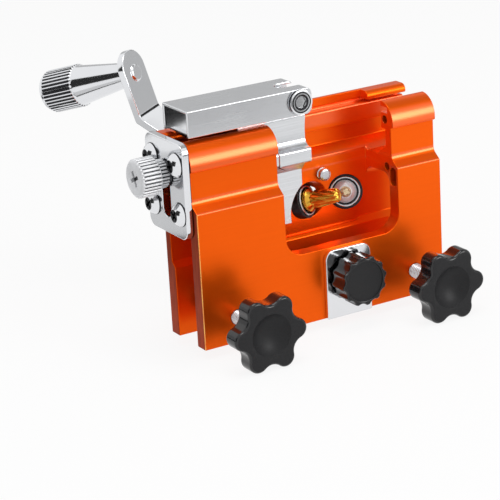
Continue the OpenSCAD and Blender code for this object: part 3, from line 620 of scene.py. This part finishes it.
def add_piece(name, bm, body, slot, nodes, finishes=None):
    """Makes the shape a piece that rides on its body in place of its CAD nodes."""
    sharp = 32
    bmesh.ops.scale(bm, vec=Vector((MM, MM, MM)), verts=bm.verts)
    if bm.verts.layers.float.get("angle"):
        bm.verts.layers.float.remove(bm.verts.layers.float["angle"])
    piece = add_object(name, bm, [finish_of(finish) for finish in finishes or [slot]])
    piece.data.shade_smooth()
    piece.data.set_sharp_from_angle(angle=math.radians(sharp))
    settle = piece.modifiers.new("even shading", "WEIGHTED_NORMAL")
    settle.keep_sharp = True
    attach(piece, body)
    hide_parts(*nodes)


def add_edged(name, node, body, slot, edge, segments=2):
    """Adds a piece in the shape of its CAD node with its edges rounded."""
    bm = cad_shape(node)
    round_edges(bm, edge, segments)
    add_piece(name, bm, body, slot, [node])


class SHARPENER_OT_housing(bpy.types.Operator):
    """Makes the anodised housing with its rounded cut edges and two hollows"""

    bl_idname = "sharpener.housing"
    bl_label = "Housing"

    def execute(self, context):
        bm = cad_shape("housing")
        round_edges(bm, context.scene.sharpener_sizes.housing_edge)
        depth, slot_h, wall_y, wall_h = 14, 42.15, -14.2, 38.2
        behind_slot = plate_place(0, slot_h, HOUSING_END)
        sink_pocket(bm, behind_slot, half_l=2.85, half_w=4.0, corner_r=0.5, depth=depth)
        in_front_wall = plate_place(wall_y, wall_h, WINDOW_END)
        sink_pocket(bm, in_front_wall, half_l=3.7, half_w=1.95, corner_r=1.9, depth=depth)
        sawn_and_shaded_lean, sawn_and_shaded_in, highlight_edge_leans, highlight_edge_in = -0.9, 0.1, (-0.95, -0.3), 0.4
        # Faces of the housing's left end get the sawn finish, darkened as painted shade
        mark_faces(bm, 1, lambda middle, normal: normal.x < sawn_and_shaded_lean and middle.x < HOUSING_END + sawn_and_shaded_in)
        # The bevel of the front left edge gets a painted highlight
        mark_faces(bm, 2, lambda middle, normal: (
            highlight_edge_leans[0] < normal.x < highlight_edge_leans[1]
            and middle.x < HOUSING_END + highlight_edge_in and middle.y < FRONT_WALL + highlight_edge_in))
        add_piece("anodised_housing", bm, "frame", "orange_anodised", ["housing"],
                  ["orange_anodised", "sawn_orange", "edge_orange"])
        return {"FINISHED"}


def pan_heads(segments):
    """The four screws of the end plate, with domed heads and cross recesses."""
    head_r, head_h, shank_r, shank_back, ease = 4.7, 3.4, 1.6, -12, 0.15
    cross_l, cross_w, cross_d, turn, next_turn = 4.4, 1.05, 1.5, 20, 37
    dome = (head_r ** 2 + head_h ** 2) / (2 * head_h)
    flat_r, seat_low, seat_high, shade_d = 2.5, 0.01, 0.55, 0.3
    lowest, steps = math.asin((dome - head_h) / dome), 9
    highest = math.acos(flat_r / dome)
    bends = [lowest + (highest - lowest) * k / steps for k in range(1, steps + 1)]
    skirt = [(dome * math.sin(bend) + head_h - dome, dome * math.cos(bend)) for bend in bends]
    bm = bmesh.new()
    for number, (y, z) in enumerate(PLATE_SCREWS):
        place = plate_place(y, z)
        bm.transform(place.inverted())
        ring = stack(bm, segments, [(shank_back, POLE), (shank_back, shank_r), (0, shank_r),
                                    (0, head_r - ease), (ease, head_r)] + skirt)
        recess(bm, ring, cross_outline(cross_l, cross_w, turn + next_turn * number), cross_d)
        close_up(bm)
        # Black for painted shade: a ring at the head's seat and the inside of the cross recess
        second_finish(bm, lambda wide, high, lean: (
            seat_low < high < seat_high or (wide < flat_r and high < head_h - shade_d)))
        bm.transform(place)
    return bm


class SHARPENER_OT_plates(bpy.types.Operator):
    """Makes the two plated plates, the four pan-head screws and the turned stop pin"""

    bl_idname = "sharpener.plates"
    bl_label = "Plates and stop pin"

    def execute(self, context):
        edge, rounds, inward, segments = context.scene.sharpener_sizes.plate_edge, 3, 0.2, 48
        bm = cad_shape("end_plate")
        round_edges(bm, edge, rounds)
        # Faces turned in towards the housing are black: painted shade at the joint
        mark_faces(bm, 1, lambda middle, normal: normal.x > inward)
        add_piece("plated_end_plate", bm, "frame", "chrome", ["end_plate"], CHROME_AND_PAINTED_SHADE)
        add_edged("plated_centre_plate", "centre_plate", "frame", "chrome", edge, rounds)
        add_piece("pan_head_screws", pan_heads(segments), "frame", "chrome", ["end_plate_screws"],
                  CHROME_AND_PAINTED_SHADE)

        pin_r, neck_r = 2.5, 2.15
        pin = [(0, POLE), (0, pin_r), (5.5, pin_r), (5.7, neck_r), (6.1, neck_r), (6.3, pin_r),
               (7.4, pin_r), (7.75, 2.35), (7.95, 2.0), (8, 1.6), (8, POLE)]
        bm = turned_shape(wall_place(STOP_PIN.x, STOP_PIN.z, STOP_PIN.y), pin, segments)
        add_piece("turned_stop_pin", bm, "frame", "steel", ["stop_pin"])
        return {"FINISHED"}


def bearing_stations(front):
    """Stations of a bearing with a sunk shield on both sides."""
    race, shield, dip, ease = 4.75, 3.65, 0.3, 0.1
    back = front - BEARING_W
    half = [(0, SHAFT_BORE_R), (0, shield), (dip, shield), (dip, race), (0, race),
            (0, BEARING_R - ease), (ease, BEARING_R)]
    return ([(back + deep, wide) for deep, wide in half]
            + [(front - deep, wide) for deep, wide in half[::-1]] + [(back, SHAFT_BORE_R)])


class SHARPENER_OT_quills(bpy.types.Operator):
    """Makes the blackened guide bushes, the sliding quills and their bearings"""

    bl_idname = "sharpener.quills"
    bl_label = "Bushes and quills"

    def execute(self, context):
        segments = 128
        inner, ease, soft, lead = QUILL_R + 0.05, 0.3, 0.09, 0.2
        outline = [(-BUSH_L, inner + ease), (-BUSH_L, BUSH_R - ease), (ease - BUSH_L, BUSH_R),
                   (-ease, BUSH_R), (-soft, BUSH_R - soft), (0, BUSH_R - ease), (0, inner + lead),
                   (-lead, inner), (ease - BUSH_L, inner), (-BUSH_L, inner + ease)]
        for side, name in SIDES:
            add_piece(name + "_blackened_bush", turned_shape(spindle_place(side), outline, segments),
                      "frame", "blackened_steel", [name + "_guide_bush"])

        bore, flange, ease, lead = 3.6, 7.6, 0.25, 0.15
        pocket = BEARING_FRONT - BEARING_W
        rear = QUILL_BACK + BEARING_W
        sleeve = [(QUILL_BACK, BEARING_R), (QUILL_BACK, flange - ease), (QUILL_BACK + ease, flange),
                  (rear - ease, flange), (rear, flange - ease), (rear, QUILL_R),
                  (QUILL_FRONT - ease, QUILL_R), (QUILL_FRONT, QUILL_R - ease),
                  (QUILL_FRONT, BEARING_R + lead), (QUILL_FRONT - lead, BEARING_R), (pocket, BEARING_R),
                  (pocket, bore), (rear, bore), (rear, BEARING_R), (QUILL_BACK, BEARING_R)]
        for side, name in SIDES:
            body = name + "_quill"
            add_piece(name + "_sliding_quill", turned_shape(spindle_place(side), sleeve, segments),
                      body, "steel", [body])
            for end, front in (("front", BEARING_FRONT), ("rear", rear)):
                add_piece(f"{name}_{end}_shielded_bearing",
                          turned_shape(spindle_place(side), bearing_stations(front)),
                          body, "blackened_steel", [f"{name}_{end}_bearing"])
        return {"FINISHED"}


def fluted_burr():
    """A collar, a neck and a tapered body with spiral flutes and a round tip."""
    flutes, back, reach_l, body_r, taper = 9, 3.6, 15.2, 3.7, 0.22
    tip_l, twist, depth, steep, run_in = 1.3, math.radians(62), 0.85, 0.32, 0.25
    body_l = reach_l - back - tip_l
    body_steps, tip_steps, flute_steps = 26, 5, 14

    def toothed(scale, cut):
        def reach(angle):
            phase = (angle * flutes / FULL_TURN) % 1
            fall = phase / steep if phase < steep else (1 - phase) / (1 - steep)
            return scale * (body_r - depth * cut * fall)
        return reach
    stations = [(-1.7, POLE), (-1.7, 4.2), (-1.4, COLLAR_R), (1.55, COLLAR_R), (1.85, 4.45),
                (3.0, 3.0), (3.2, 2.8), (3.4, 2.8), (back, toothed(0.93, 0.4))]
    for k in range(body_steps + 1):
        share = k / body_steps
        stations.append((back + run_in + (body_l - run_in) * share,
                         toothed(1 - taper * share, 1), twist * share))
    for k in range(1, tip_steps + 1):
        bend = k * math.pi / 2 / tip_steps
        stations.append((reach_l - tip_l * (1 - math.sin(bend)),
                         toothed((1 - taper) * max(math.cos(bend), POLE), 1 - k / (tip_steps + 1)),
                         twist))
    return turned_shape(spindle_place(LEFT), stations, flutes * flute_steps)


class SHARPENER_OT_spindles(bpy.types.Operator):
    """Makes the spindle shafts, the fluted gold burr, the coned nose and its pale burr"""

    bl_idname = "sharpener.spindles"
    bl_label = "Spindles and burrs"

    def execute(self, context):
        edge = context.scene.sharpener_sizes.small_edge
        add_edged("left_turned_spindle", "left_spindle", "crank", "steel", edge)
        add_edged("right_turned_spindle", "right_spindle", "right_spindle", "steel", edge)
        add_piece("left_fluted_burr", fluted_burr(), "crank", "gold", ["left_burr"])

        back, front, front_r = -0.5, 2, 2.6
        cone = [(-1.7, POLE), (-1.7, 4.3), (-1.5, COLLAR_R), (back, COLLAR_R)]
        grooves = 7
        for k in range(grooves):
            at = back + (front - back) * k / grooves
            wide = COLLAR_R - (COLLAR_R - front_r) * k / grooves
            cone += [(at + 0.04, wide - 0.03), (at + 0.26, wide - 0.24), (at + 0.31, wide - 0.20)]
        cone += [(front, front_r), (front, POLE)]
        add_piece("right_coned_nose", turned_shape(spindle_place(RIGHT), cone), "right_spindle",
                  "steel", ["right_nose"], ["faced_steel"])
        tip_r = 2.2
        lobes = fluted(tip_r, count=4, flute_r=1.2, depth=0.5, start=25)
        tip = [(front, POLE), (front, tip_r), (2.3, tip_r), (2.6, lobes), (4.5, less(lobes, 0.6)),
               (4.9, less(lobes, 0.9)), (5, 0.9), (5, POLE)]
        add_piece("right_pale_burr", turned_shape(spindle_place(RIGHT), tip), "right_spindle",
                  "cream", ["right_burr"])
        return {"FINISHED"}


def close_lever_end(bm):
    """Closes the lever's far end with a plate between its walls."""
    low, high = (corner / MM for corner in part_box("lever"))
    back, thick, wall = 0.25, 1.5, 1.0
    size = Vector((thick, high.y - low.y - 2 * wall, high.z - low.z - wall - back))
    middle = Vector((low.x + back + thick / 2, (low.y + high.y) / 2, low.z + back + size.z / 2))
    made = bmesh.ops.create_cube(bm, matrix=Matrix.Translation(middle) @ Matrix.Diagonal((*size, 1)))
    for face in {face for vert in made["verts"] for face in vert.link_faces}:
        face.material_index = 1


class SHARPENER_OT_lever(bpy.types.Operator):
    """Makes the tooth-stop slide, the lever on it, the socket-head pivot screw and the nut"""

    bl_idname = "sharpener.lever"
    bl_label = "Tooth stop and lever"

    def execute(self, context):
        sizes = context.scene.sharpener_sizes
        add_edged("polished_tooth_stop", "tooth_stop_slide", "tooth_stop", "polished_aluminium",
                  sizes.slide_edge)
        bm = cad_shape("lever")
        round_edges(bm, sizes.lever_edge, 3)
        close_lever_end(bm)
        add_piece("polished_lever", bm, "lever", "polished_aluminium", ["lever"],
                  ["polished_aluminium", "chrome"])

        head_r, head_h, shank_r, shank_l, tip, ease = 4.9, 1.2, 2.5, 22.6, 0.4, 0.2
        rim_r, ring_r, dish_r = 4.1, 3.6, 3.1
        groove, dish = head_h - 0.6, head_h - 0.5
        segments, socket_r, socket_d = 72, 2.3, 0.4
        bm = bmesh.new()
        ring = stack(bm, segments, [
            (-shank_l, POLE), (-shank_l, shank_r - tip), (tip - shank_l, shank_r), (0, shank_r),
            (0, head_r - ease), (ease, head_r), (head_h - 0.3, head_r), (head_h - 0.08, head_r - 0.1),
            (head_h, head_r - 0.35), (head_h, rim_r), (groove, rim_r - 0.05), (groove, ring_r + 0.05),
            (head_h - 0.05, ring_r), (head_h - 0.05, dish_r), (dish, 2.6), (dish, 2.45)])
        recess(bm, ring, hexagon(socket_r), socket_d)
        close_up(bm)
        # Black for painted shade: the groove, the dish ring, the socket walls and the head's side
        second_finish(bm, lambda wide, high, lean: (
            0 < high < head_h - 0.1 and (ring_r < wide < rim_r or 2.2 < wide < dish_r
                                         or wide < 2.4 and lean < 0.5 or wide > head_r - 0.01)))
        bm.transform(wall_place(PIVOT.x, PIVOT.z, PIVOT.y))
        add_piece("socket_head_pivot", bm, "tooth_stop", "chrome", ["lever_pivot_screw"], CHROME_AND_PAINTED_SHADE)
        add_edged("pivot_hexagon_nut", "lever_pivot_nut", "tooth_stop", "chrome", sizes.small_edge)
        return {"FINISHED"}


class SHARPENER_OT_adjusting_screw(bpy.types.Operator):
    """Makes the knurled adjusting screw and its clip"""

    bl_idname = "sharpener.adjusting_screw"
    bl_label = "Adjusting screw"

    def execute(self, context):
        sizes = context.scene.sharpener_sizes
        head_r, head_l, collar_r, collar_l, shank_l, neck_l = 7.5, 8.3, 5.5, 4.2, 38, 6
        face, ease, foot, step, gap, face_r = collar_l + head_l, 0.8, 0.5, 0.3, 0.3, 5.2
        head = fluted(head_r, count=30, flute_r=0.55, depth=0.45)
        collar = fluted(collar_r, count=24, flute_r=0.5, depth=0.4)
        segments, shank_segments, cross_d = 360, 48, 1.4
        bm = bmesh.new()
        ring = stack(bm, segments, [
            (0, POLE), (0, collar_r - 0.7), (0.3, less(collar, 0.1)), (foot, collar),
            (collar_l - step, collar), (collar_l, less(collar, step)), (collar_l, collar_r + 0.6),
            (collar_l, head_r - 0.9), (collar_l + step, less(head, 0.25)), (collar_l + 2 * step, head),
            (face - ease, head), (face - 0.25, head_r - 0.6), (face, head_r - 1.0), (face, face_r)])
        recess(bm, ring, cross_outline(arm=6.2, width=1.5, turn=25), cross_d)
        stack(bm, shank_segments, [(-shank_l, POLE), (-shank_l, SCREW_R - 0.6)]
              + thread(step - shank_l, -neck_l, sizes) + [(foot, SCREW_R), (foot, POLE)])
        close_up(bm)
        head_groove, collar_groove = head_r - 0.34, collar_r - 0.27
        # Black for painted shade: the bottoms of the knurls on head and collar, and the collar's foot
        second_finish(bm, lambda wide, high, lean: (
            collar_l + 2 * step < high < face - ease and wide < head_groove or 0 < high < foot
            or foot < high < collar_l - step and wide < collar_groove))
        bm.transform(plate_place(0, ADJUST_H, PLATE_FACE - gap))
        add_piece("knurled_adjusting_screw", bm, "adjusting_screw", "chrome", ["adjusting_screw"],
                  ["faced_steel", "blackened_steel"])
        add_edged("adjusting_clip", "adjusting_screw_clip", "adjusting_screw", "blackened_steel",
                  sizes.small_edge)
        return {"FINISHED"}


def fluted_handle():
    """The handle: a cone, a fluted end and a recess for its cap."""
    bore, near_r, cone_l, wide_r, end_r, cap_r, cap_h = 2.55, 4.8, 23, 8.8, 2.4, 4.3, 2.3
    flutes, flute_r, flute_d, flute_steps, steps, ease, shade_d = 36, 0.5, 0.5, 10, 6, 0.2, 0.2
    ribs, ribs_back = fluted(wide_r, flutes, flute_r, flute_d), cone_l + 1.4
    shoulder = HANDLE_L - end_r
    stations = [(0, bore), (0, near_r - 0.5), (0.2, near_r - 0.15), (0.6, near_r),
                (cone_l, wide_r - 0.8), (cone_l + 0.6, wide_r - 0.65), (cone_l + 1, wide_r - flute_d),
                (ribs_back, ribs), (shoulder, ribs), (shoulder + 0.1, wide_r - flute_d)]
    for k in range(1, steps + 1):
        bend = k * math.pi / 2 / steps
        stations.append((shoulder + end_r * math.sin(bend),
                         wide_r - flute_d - (end_r - flute_d) * (1 - math.cos(bend))))
    stations += [(HANDLE_L, cap_r + ease), (HANDLE_L - ease, cap_r), (HANDLE_L - cap_h, cap_r),
                 (HANDLE_L - cap_h, bore), (0, bore)]
    bm = turned_shape(Matrix(), stations, flutes * flute_steps)
    # Black for painted shade at the bottoms of the flutes
    second_finish(bm, lambda wide, high, lean: ribs_back < high < shoulder and wide < wide_r - shade_d)
    bm.transform(handle_place())
    return bm


class SHARPENER_OT_crank(bpy.types.Operator):
    """Makes the folded crank bar, its nut, the riveted pin and the turned handle"""

    bl_idname = "sharpener.crank"
    bl_label = "Crank and handle"

    def execute(self, context):
        sizes = context.scene.sharpener_sizes
        bar_w, near, fold_r, fold_segments, least, most = 15.5, 0.1, 2.0, 6, 20, 70
        bm = cad_shape("crank_arm")
        folds = [edge for edge in edges_between(bm, least, most) if abs(edge.calc_length() - bar_w) < near]
        bevel(bm, folds, fold_r, fold_segments)
        round_edges(bm, sizes.crank_edge, 3)
        add_piece("plated_crank_bar", bm, "crank", "chrome", ["crank_arm"])
        add_edged("domed_crank_nut", "crank_nut", "crank", "chrome", sizes.small_edge)
        add_edged("riveted_handle_pin", "handle_pin", "crank", "chrome", sizes.small_edge)
        add_piece("fluted_handle", fluted_handle(), "handle", "chrome", ["handle_grip"], CHROME_AND_PAINTED_SHADE)
        return {"FINISHED"}


def add_knob(name, place, stations, segments, back, face_r, body, node):
    """Adds a knob whose faces towards the front are satin."""
    skirt, flat, leaning = 2, 0.9, 0.2
    bm = turned_shape(Matrix(), stations, segments)
    second_finish(bm, lambda wide, high, lean: (
        high > back + skirt and (lean > flat or wide < face_r and lean > leaning)))
    bm.transform(place)
    add_piece(name, bm, body, "black_plastic", [node], ["black_plastic", "black_plastic_face"])


class SHARPENER_OT_knobs(bpy.types.Operator):
    """Makes the two star knobs and the fluted centre knob"""

    bl_idname = "sharpener.knobs"
    bl_label = "Knobs"

    def execute(self, context):
        sizes = context.scene.sharpener_sizes
        star_segments, centre_segments = 360, 288
        hub_back, hub_r, grip, ease = 14.3, 6, STAR_SCREW_END, 0.4
        outline, edge = star(sizes.star_width / MM), sizes.star_edge / MM
        dish_r, dish_d, lip, steps, sunk = 8.4, 3.6, 0.5, 12, 0.04
        ball = (dish_r ** 2 + dish_d ** 2) / (2 * dish_d)
        opening = math.asin(dish_r / ball)
        stations = [(grip, POLE), (grip, SCREW_R), (hub_back, SCREW_R), (hub_back, hub_r - ease),
                    (hub_back + ease, hub_r), (STAR_BACK - 0.5, hub_r), (STAR_BACK - 0.1, hub_r + 0.15),
                    (STAR_BACK, hub_r + 0.6)]
        stations += rounded_rim(outline, STAR_BACK, edge, -1) + rounded_rim(outline, STAR_FACE, edge, 1)
        stations += [(STAR_FACE, dish_r + lip), (STAR_FACE - 0.08, dish_r + 0.22)]
        for k in range(steps):
            bend = opening * (1 - k / steps)
            stations.append((STAR_FACE - dish_d + ball * (1 - math.cos(bend)) - sunk,
                             max(ball * math.sin(bend) - sunk / 2, POLE)))
        stations.append((STAR_FACE - dish_d - sunk, POLE))
        for name, x in STAR_KNOBS:
            add_knob(name + "_moulded_star", wall_place(x, STAR_H), stations, star_segments,
                     STAR_BACK, dish_r + lip, name + "_knob", name + "_star_knob")

        wide = sizes.centre_width / 2 / MM
        ribs = fluted(wide, count=12, flute_r=3.2, depth=0.9, start=22)
        sink, back_edge, front_edge = 0.7, 0.5, 0.8
        inner, floor = wide - 2, CENTRE_FACE - sink
        stations = [(CENTRE_SCREW_END, POLE), (CENTRE_SCREW_END, SCREW_R), (CENTRE_BACK, SCREW_R),
                    (CENTRE_BACK, inner)]
        stations += rounded_rim(ribs, CENTRE_BACK, back_edge, -1, 3)
        stations += rounded_rim(ribs, CENTRE_FACE, front_edge, 1)
        stations += [(CENTRE_FACE, inner + 0.25), (CENTRE_FACE - 0.1, inner + 0.05),
                     (floor + 0.15, inner - 0.1), (floor, inner - 0.3), (floor, POLE)]
        add_knob("moulded_centre_knob", wall_place(CENTRE_X, CENTRE_H), stations, centre_segments,
                 CENTRE_BACK, inner, "centre_knob", "centre_knob")
        return {"FINISHED"}


class SHARPENER_OT_clamp_screws(bpy.types.Operator):
    """Makes the three threaded clamp screws and their swivel feet"""

    bl_idname = "sharpener.clamp_screws"
    bl_label = "Clamp screws"

    def execute(self, context):
        sizes = context.scene.sharpener_sizes
        shoulder, tip_r, ease, segments = -11.7, 2.4, 0.3, 48
        star_bare, centre_bare = 14, 3
        screws = [(name, x, STAR_H, STAR_SCREW_END, star_bare, name + "_clamp") for name, x in STAR_KNOBS]
        screws.append(("centre", CENTRE_X, CENTRE_H, CENTRE_SCREW_END, centre_bare, "centre"))
        for name, x, z, end, bare, node in screws:
            stations = [(SCREW_TIP, POLE), (SCREW_TIP, tip_r - ease), (SCREW_TIP + ease, tip_r),
                        (shoulder, tip_r), (shoulder, SCREW_R - 0.5)]
            stations += thread(shoulder + ease, bare, sizes)
            stations += [(end, SCREW_R), (end, POLE)]
            add_piece(name + "_threaded_screw", turned_shape(wall_place(x, z), stations, segments),
                      name + "_knob", "steel", [node + "_screw"])
            add_edged(name + "_swivel_foot", node + "_foot", name + "_foot", "blackened_steel",
                      sizes.small_edge)
        return {"FINISHED"}


def add_floor(scene):
    """A wide pale floor just under the lowest knob."""
    half, gap, darker, white_share = 12, 0.0002, 0.98, 0.88
    bm = bmesh.new()
    bmesh.ops.create_grid(bm, x_segments=1, y_segments=1, size=half)
    bmesh.ops.translate(bm, vec=(0, 0, CAD_BOX[0][2] - gap), verts=bm.verts)
    finish = Finish("floor")
    pale = scene.sharpener_colours.floor
    base = finish.mixed(finish.noise(3, 2) * 0.1, pale, [darker * part for part in pale])
    matt = finish.node("ShaderNodeBsdfDiffuse", {"Color": base})
    glow = finish.node("ShaderNodeEmission", {"Color": WHITE, "Strength": 1})
    both = finish.node("ShaderNodeMixShader", {0: finish.seen() * white_share, 1: matt, 2: glow})
    finish.node("ShaderNodeOutputMaterial", {"Surface": both})
    floor = add_object("floor", bm, [finish.owner])


def add_world(scene):
    """White to the camera and in reflections, soft light to the rest."""
    studio = Finish("studio", bpy.data.worlds)
    scene.world = studio.owner
    soft = studio.node("ShaderNodeBackground", {"Color": WHITE, "Strength": 0.55})
    white = studio.node("ShaderNodeBackground", {"Color": WHITE, "Strength": 1})
    both = studio.node("ShaderNodeMixShader", {0: studio.seen(), 1: soft, 2: white})
    studio.node("ShaderNodeOutputWorld", {"Surface": both})


def add_lights(scene):
    """Soft lamps at the front right and overhead that show in the metal, and one that doesn't."""
    for name, spot, size, power, shows in (
            ("front right", (0.56, -0.98, 0.36), 0.55, 5.5, True),
            ("overhead", (-0.05, -0.15, 0.95), 0.5, 2.4, True),
            ("front left", (-0.75, -0.55, 0.65), 0.6, 1.4, False)):
        lamp = bpy.data.lights.new(name, "AREA")
        lamp.size, lamp.energy = size, power
        hung = bpy.data.objects.new(name, lamp)
        hung.location = spot
        hung.rotation_mode = "QUATERNION"
        hung.rotation_quaternion = (MIDDLE - Vector(spot)).to_track_quat("-Z", "Y")
        hung.visible_glossy = shows
        scene.collection.objects.link(hung)


def add_cards():
    """Dark and grey cards round the set that only show as reflections."""
    for name, spot, size, grey, roll in (
            ("top card", (0.50, 0.05, 0.95), (0.8, 0.5), 0.42, 0),
            ("right card", (1.30, -0.10, 0.05), (0.9, 0.5), 0.55, 0),
            ("rear card", (0.60, 1.05, 0.44), (1.2, 0.6), 0.55, 0),
            ("left card", (-1.25, -0.10, 0.42), (0.9, 0.85), 0.03, 0),
            ("fold card", (1.22, 0.14, 0.50), (0.9, 0.28), 0.03, 0),
            ("lever card", (-0.1169, 0.1261, 0.0418), (0.040, 0.020), 0.015, -26),
            ("front card", (0.040, -0.185, 0.032), (0.12, 0.042), 0.30, 0),
            ("low card", (-0.105, 0.075, -0.009), (0.16, 0.016), 0.06, 0),
            ("end card", (-0.105, 0.075, 0.018), (0.16, 0.036), 0.68, 0)):
        bm = bmesh.new()
        bmesh.ops.create_grid(bm, x_segments=1, y_segments=1, size=0.5)
        bmesh.ops.scale(bm, vec=(*size, 1), verts=bm.verts)
        facing = (MIDDLE - Vector(spot)).to_track_quat("Z", "Y").to_matrix().to_4x4()
        bm.transform(Matrix.Translation(spot) @ facing @ Matrix.Rotation(math.radians(roll), 4, "Z"))
        finish = Finish(name)
        flat = finish.node("ShaderNodeEmission", {"Color": (grey, grey, grey, 1), "Strength": 1})
        finish.node("ShaderNodeOutputMaterial", {"Surface": flat})
        card = add_object(name, bm, [finish.owner])
        card.visible_camera = card.visible_diffuse = card.visible_shadow = False


def add_camera(scene):
    """Stands where the photograph was taken from."""
    azimuth, elevation, roll = (math.radians(part) for part in (-29.80885, 18.94121, -3.29738))
    target, offset = Vector((0, -5, 33.5)), Vector((-20.31155, -19.76232, 817.66))
    turn = (Matrix.Rotation(azimuth, 4, "Z") @ Matrix.Rotation(math.pi / 2 - elevation, 4, "X")
            @ Matrix.Rotation(roll, 4, "Z"))
    camera = bpy.data.cameras.new("camera")
    camera.lens, camera.sensor_width = 151.683, 36
    camera.clip_start, camera.clip_end = 0.01, 60
    held = bpy.data.objects.new("camera", camera)
    held.matrix_world = Matrix.Translation((target + turn @ offset) * MM) @ turn
    scene.collection.objects.link(held)
    scene.camera = held


class SHARPENER_OT_stage(bpy.types.Operator):
    """Makes the floor, the studio light and the camera"""

    bl_idname = "sharpener.stage"
    bl_label = "Stage"

    def execute(self, context):
        scene = context.scene
        scene.view_settings.view_transform = "Standard"
        add_floor(scene)
        add_world(scene)
        add_lights(scene)
        add_cards()
        add_camera(scene)
        return {"FINISHED"}





OPERATORS = (
    SHARPENER_OT_housing, SHARPENER_OT_plates, SHARPENER_OT_quills,
    SHARPENER_OT_spindles, SHARPENER_OT_lever, SHARPENER_OT_adjusting_screw, SHARPENER_OT_crank,
    SHARPENER_OT_knobs, SHARPENER_OT_clamp_screws, SHARPENER_OT_stage,
)


class SHARPENER_PT_pieces(bpy.types.Panel):
    """Lists the sharpener's pieces, sizes and colours"""

    bl_idname = "SHARPENER_PT_pieces"
    bl_label = "Chainsaw sharpener"
    bl_space_type = "VIEW_3D"
    bl_region_type = "UI"
    bl_category = "Sharpener"

    def draw(self, context):
        layout = self.layout
        for operator in OPERATORS:
            layout.operator(operator.bl_idname)
        for group in (context.scene.sharpener_sizes, context.scene.sharpener_colours):
            for name in type(group).__annotations__:
                layout.prop(group, name)


CLASSES = (SharpenerSizes, SharpenerColours, *OPERATORS, SHARPENER_PT_pieces)


def register():
    for part in CLASSES:
        bpy.utils.register_class(part)
    bpy.types.Scene.sharpener_sizes = bpy.props.PointerProperty(type=SharpenerSizes)
    bpy.types.Scene.sharpener_colours = bpy.props.PointerProperty(type=SharpenerColours)


def unregister():
    del bpy.types.Scene.sharpener_colours
    del bpy.types.Scene.sharpener_sizes
    for part in reversed(CLASSES):
        bpy.utils.unregister_class(part)


def main():
    register()
    bpy.ops.sharpener.stage()
    bpy.ops.sharpener.housing()
    bpy.ops.sharpener.plates()
    bpy.ops.sharpener.quills()
    bpy.ops.sharpener.spindles()
    bpy.ops.sharpener.lever()
    bpy.ops.sharpener.adjusting_screw()
    bpy.ops.sharpener.crank()
    bpy.ops.sharpener.knobs()
    bpy.ops.sharpener.clamp_screws()


if __name__ == "__main__":
    main()
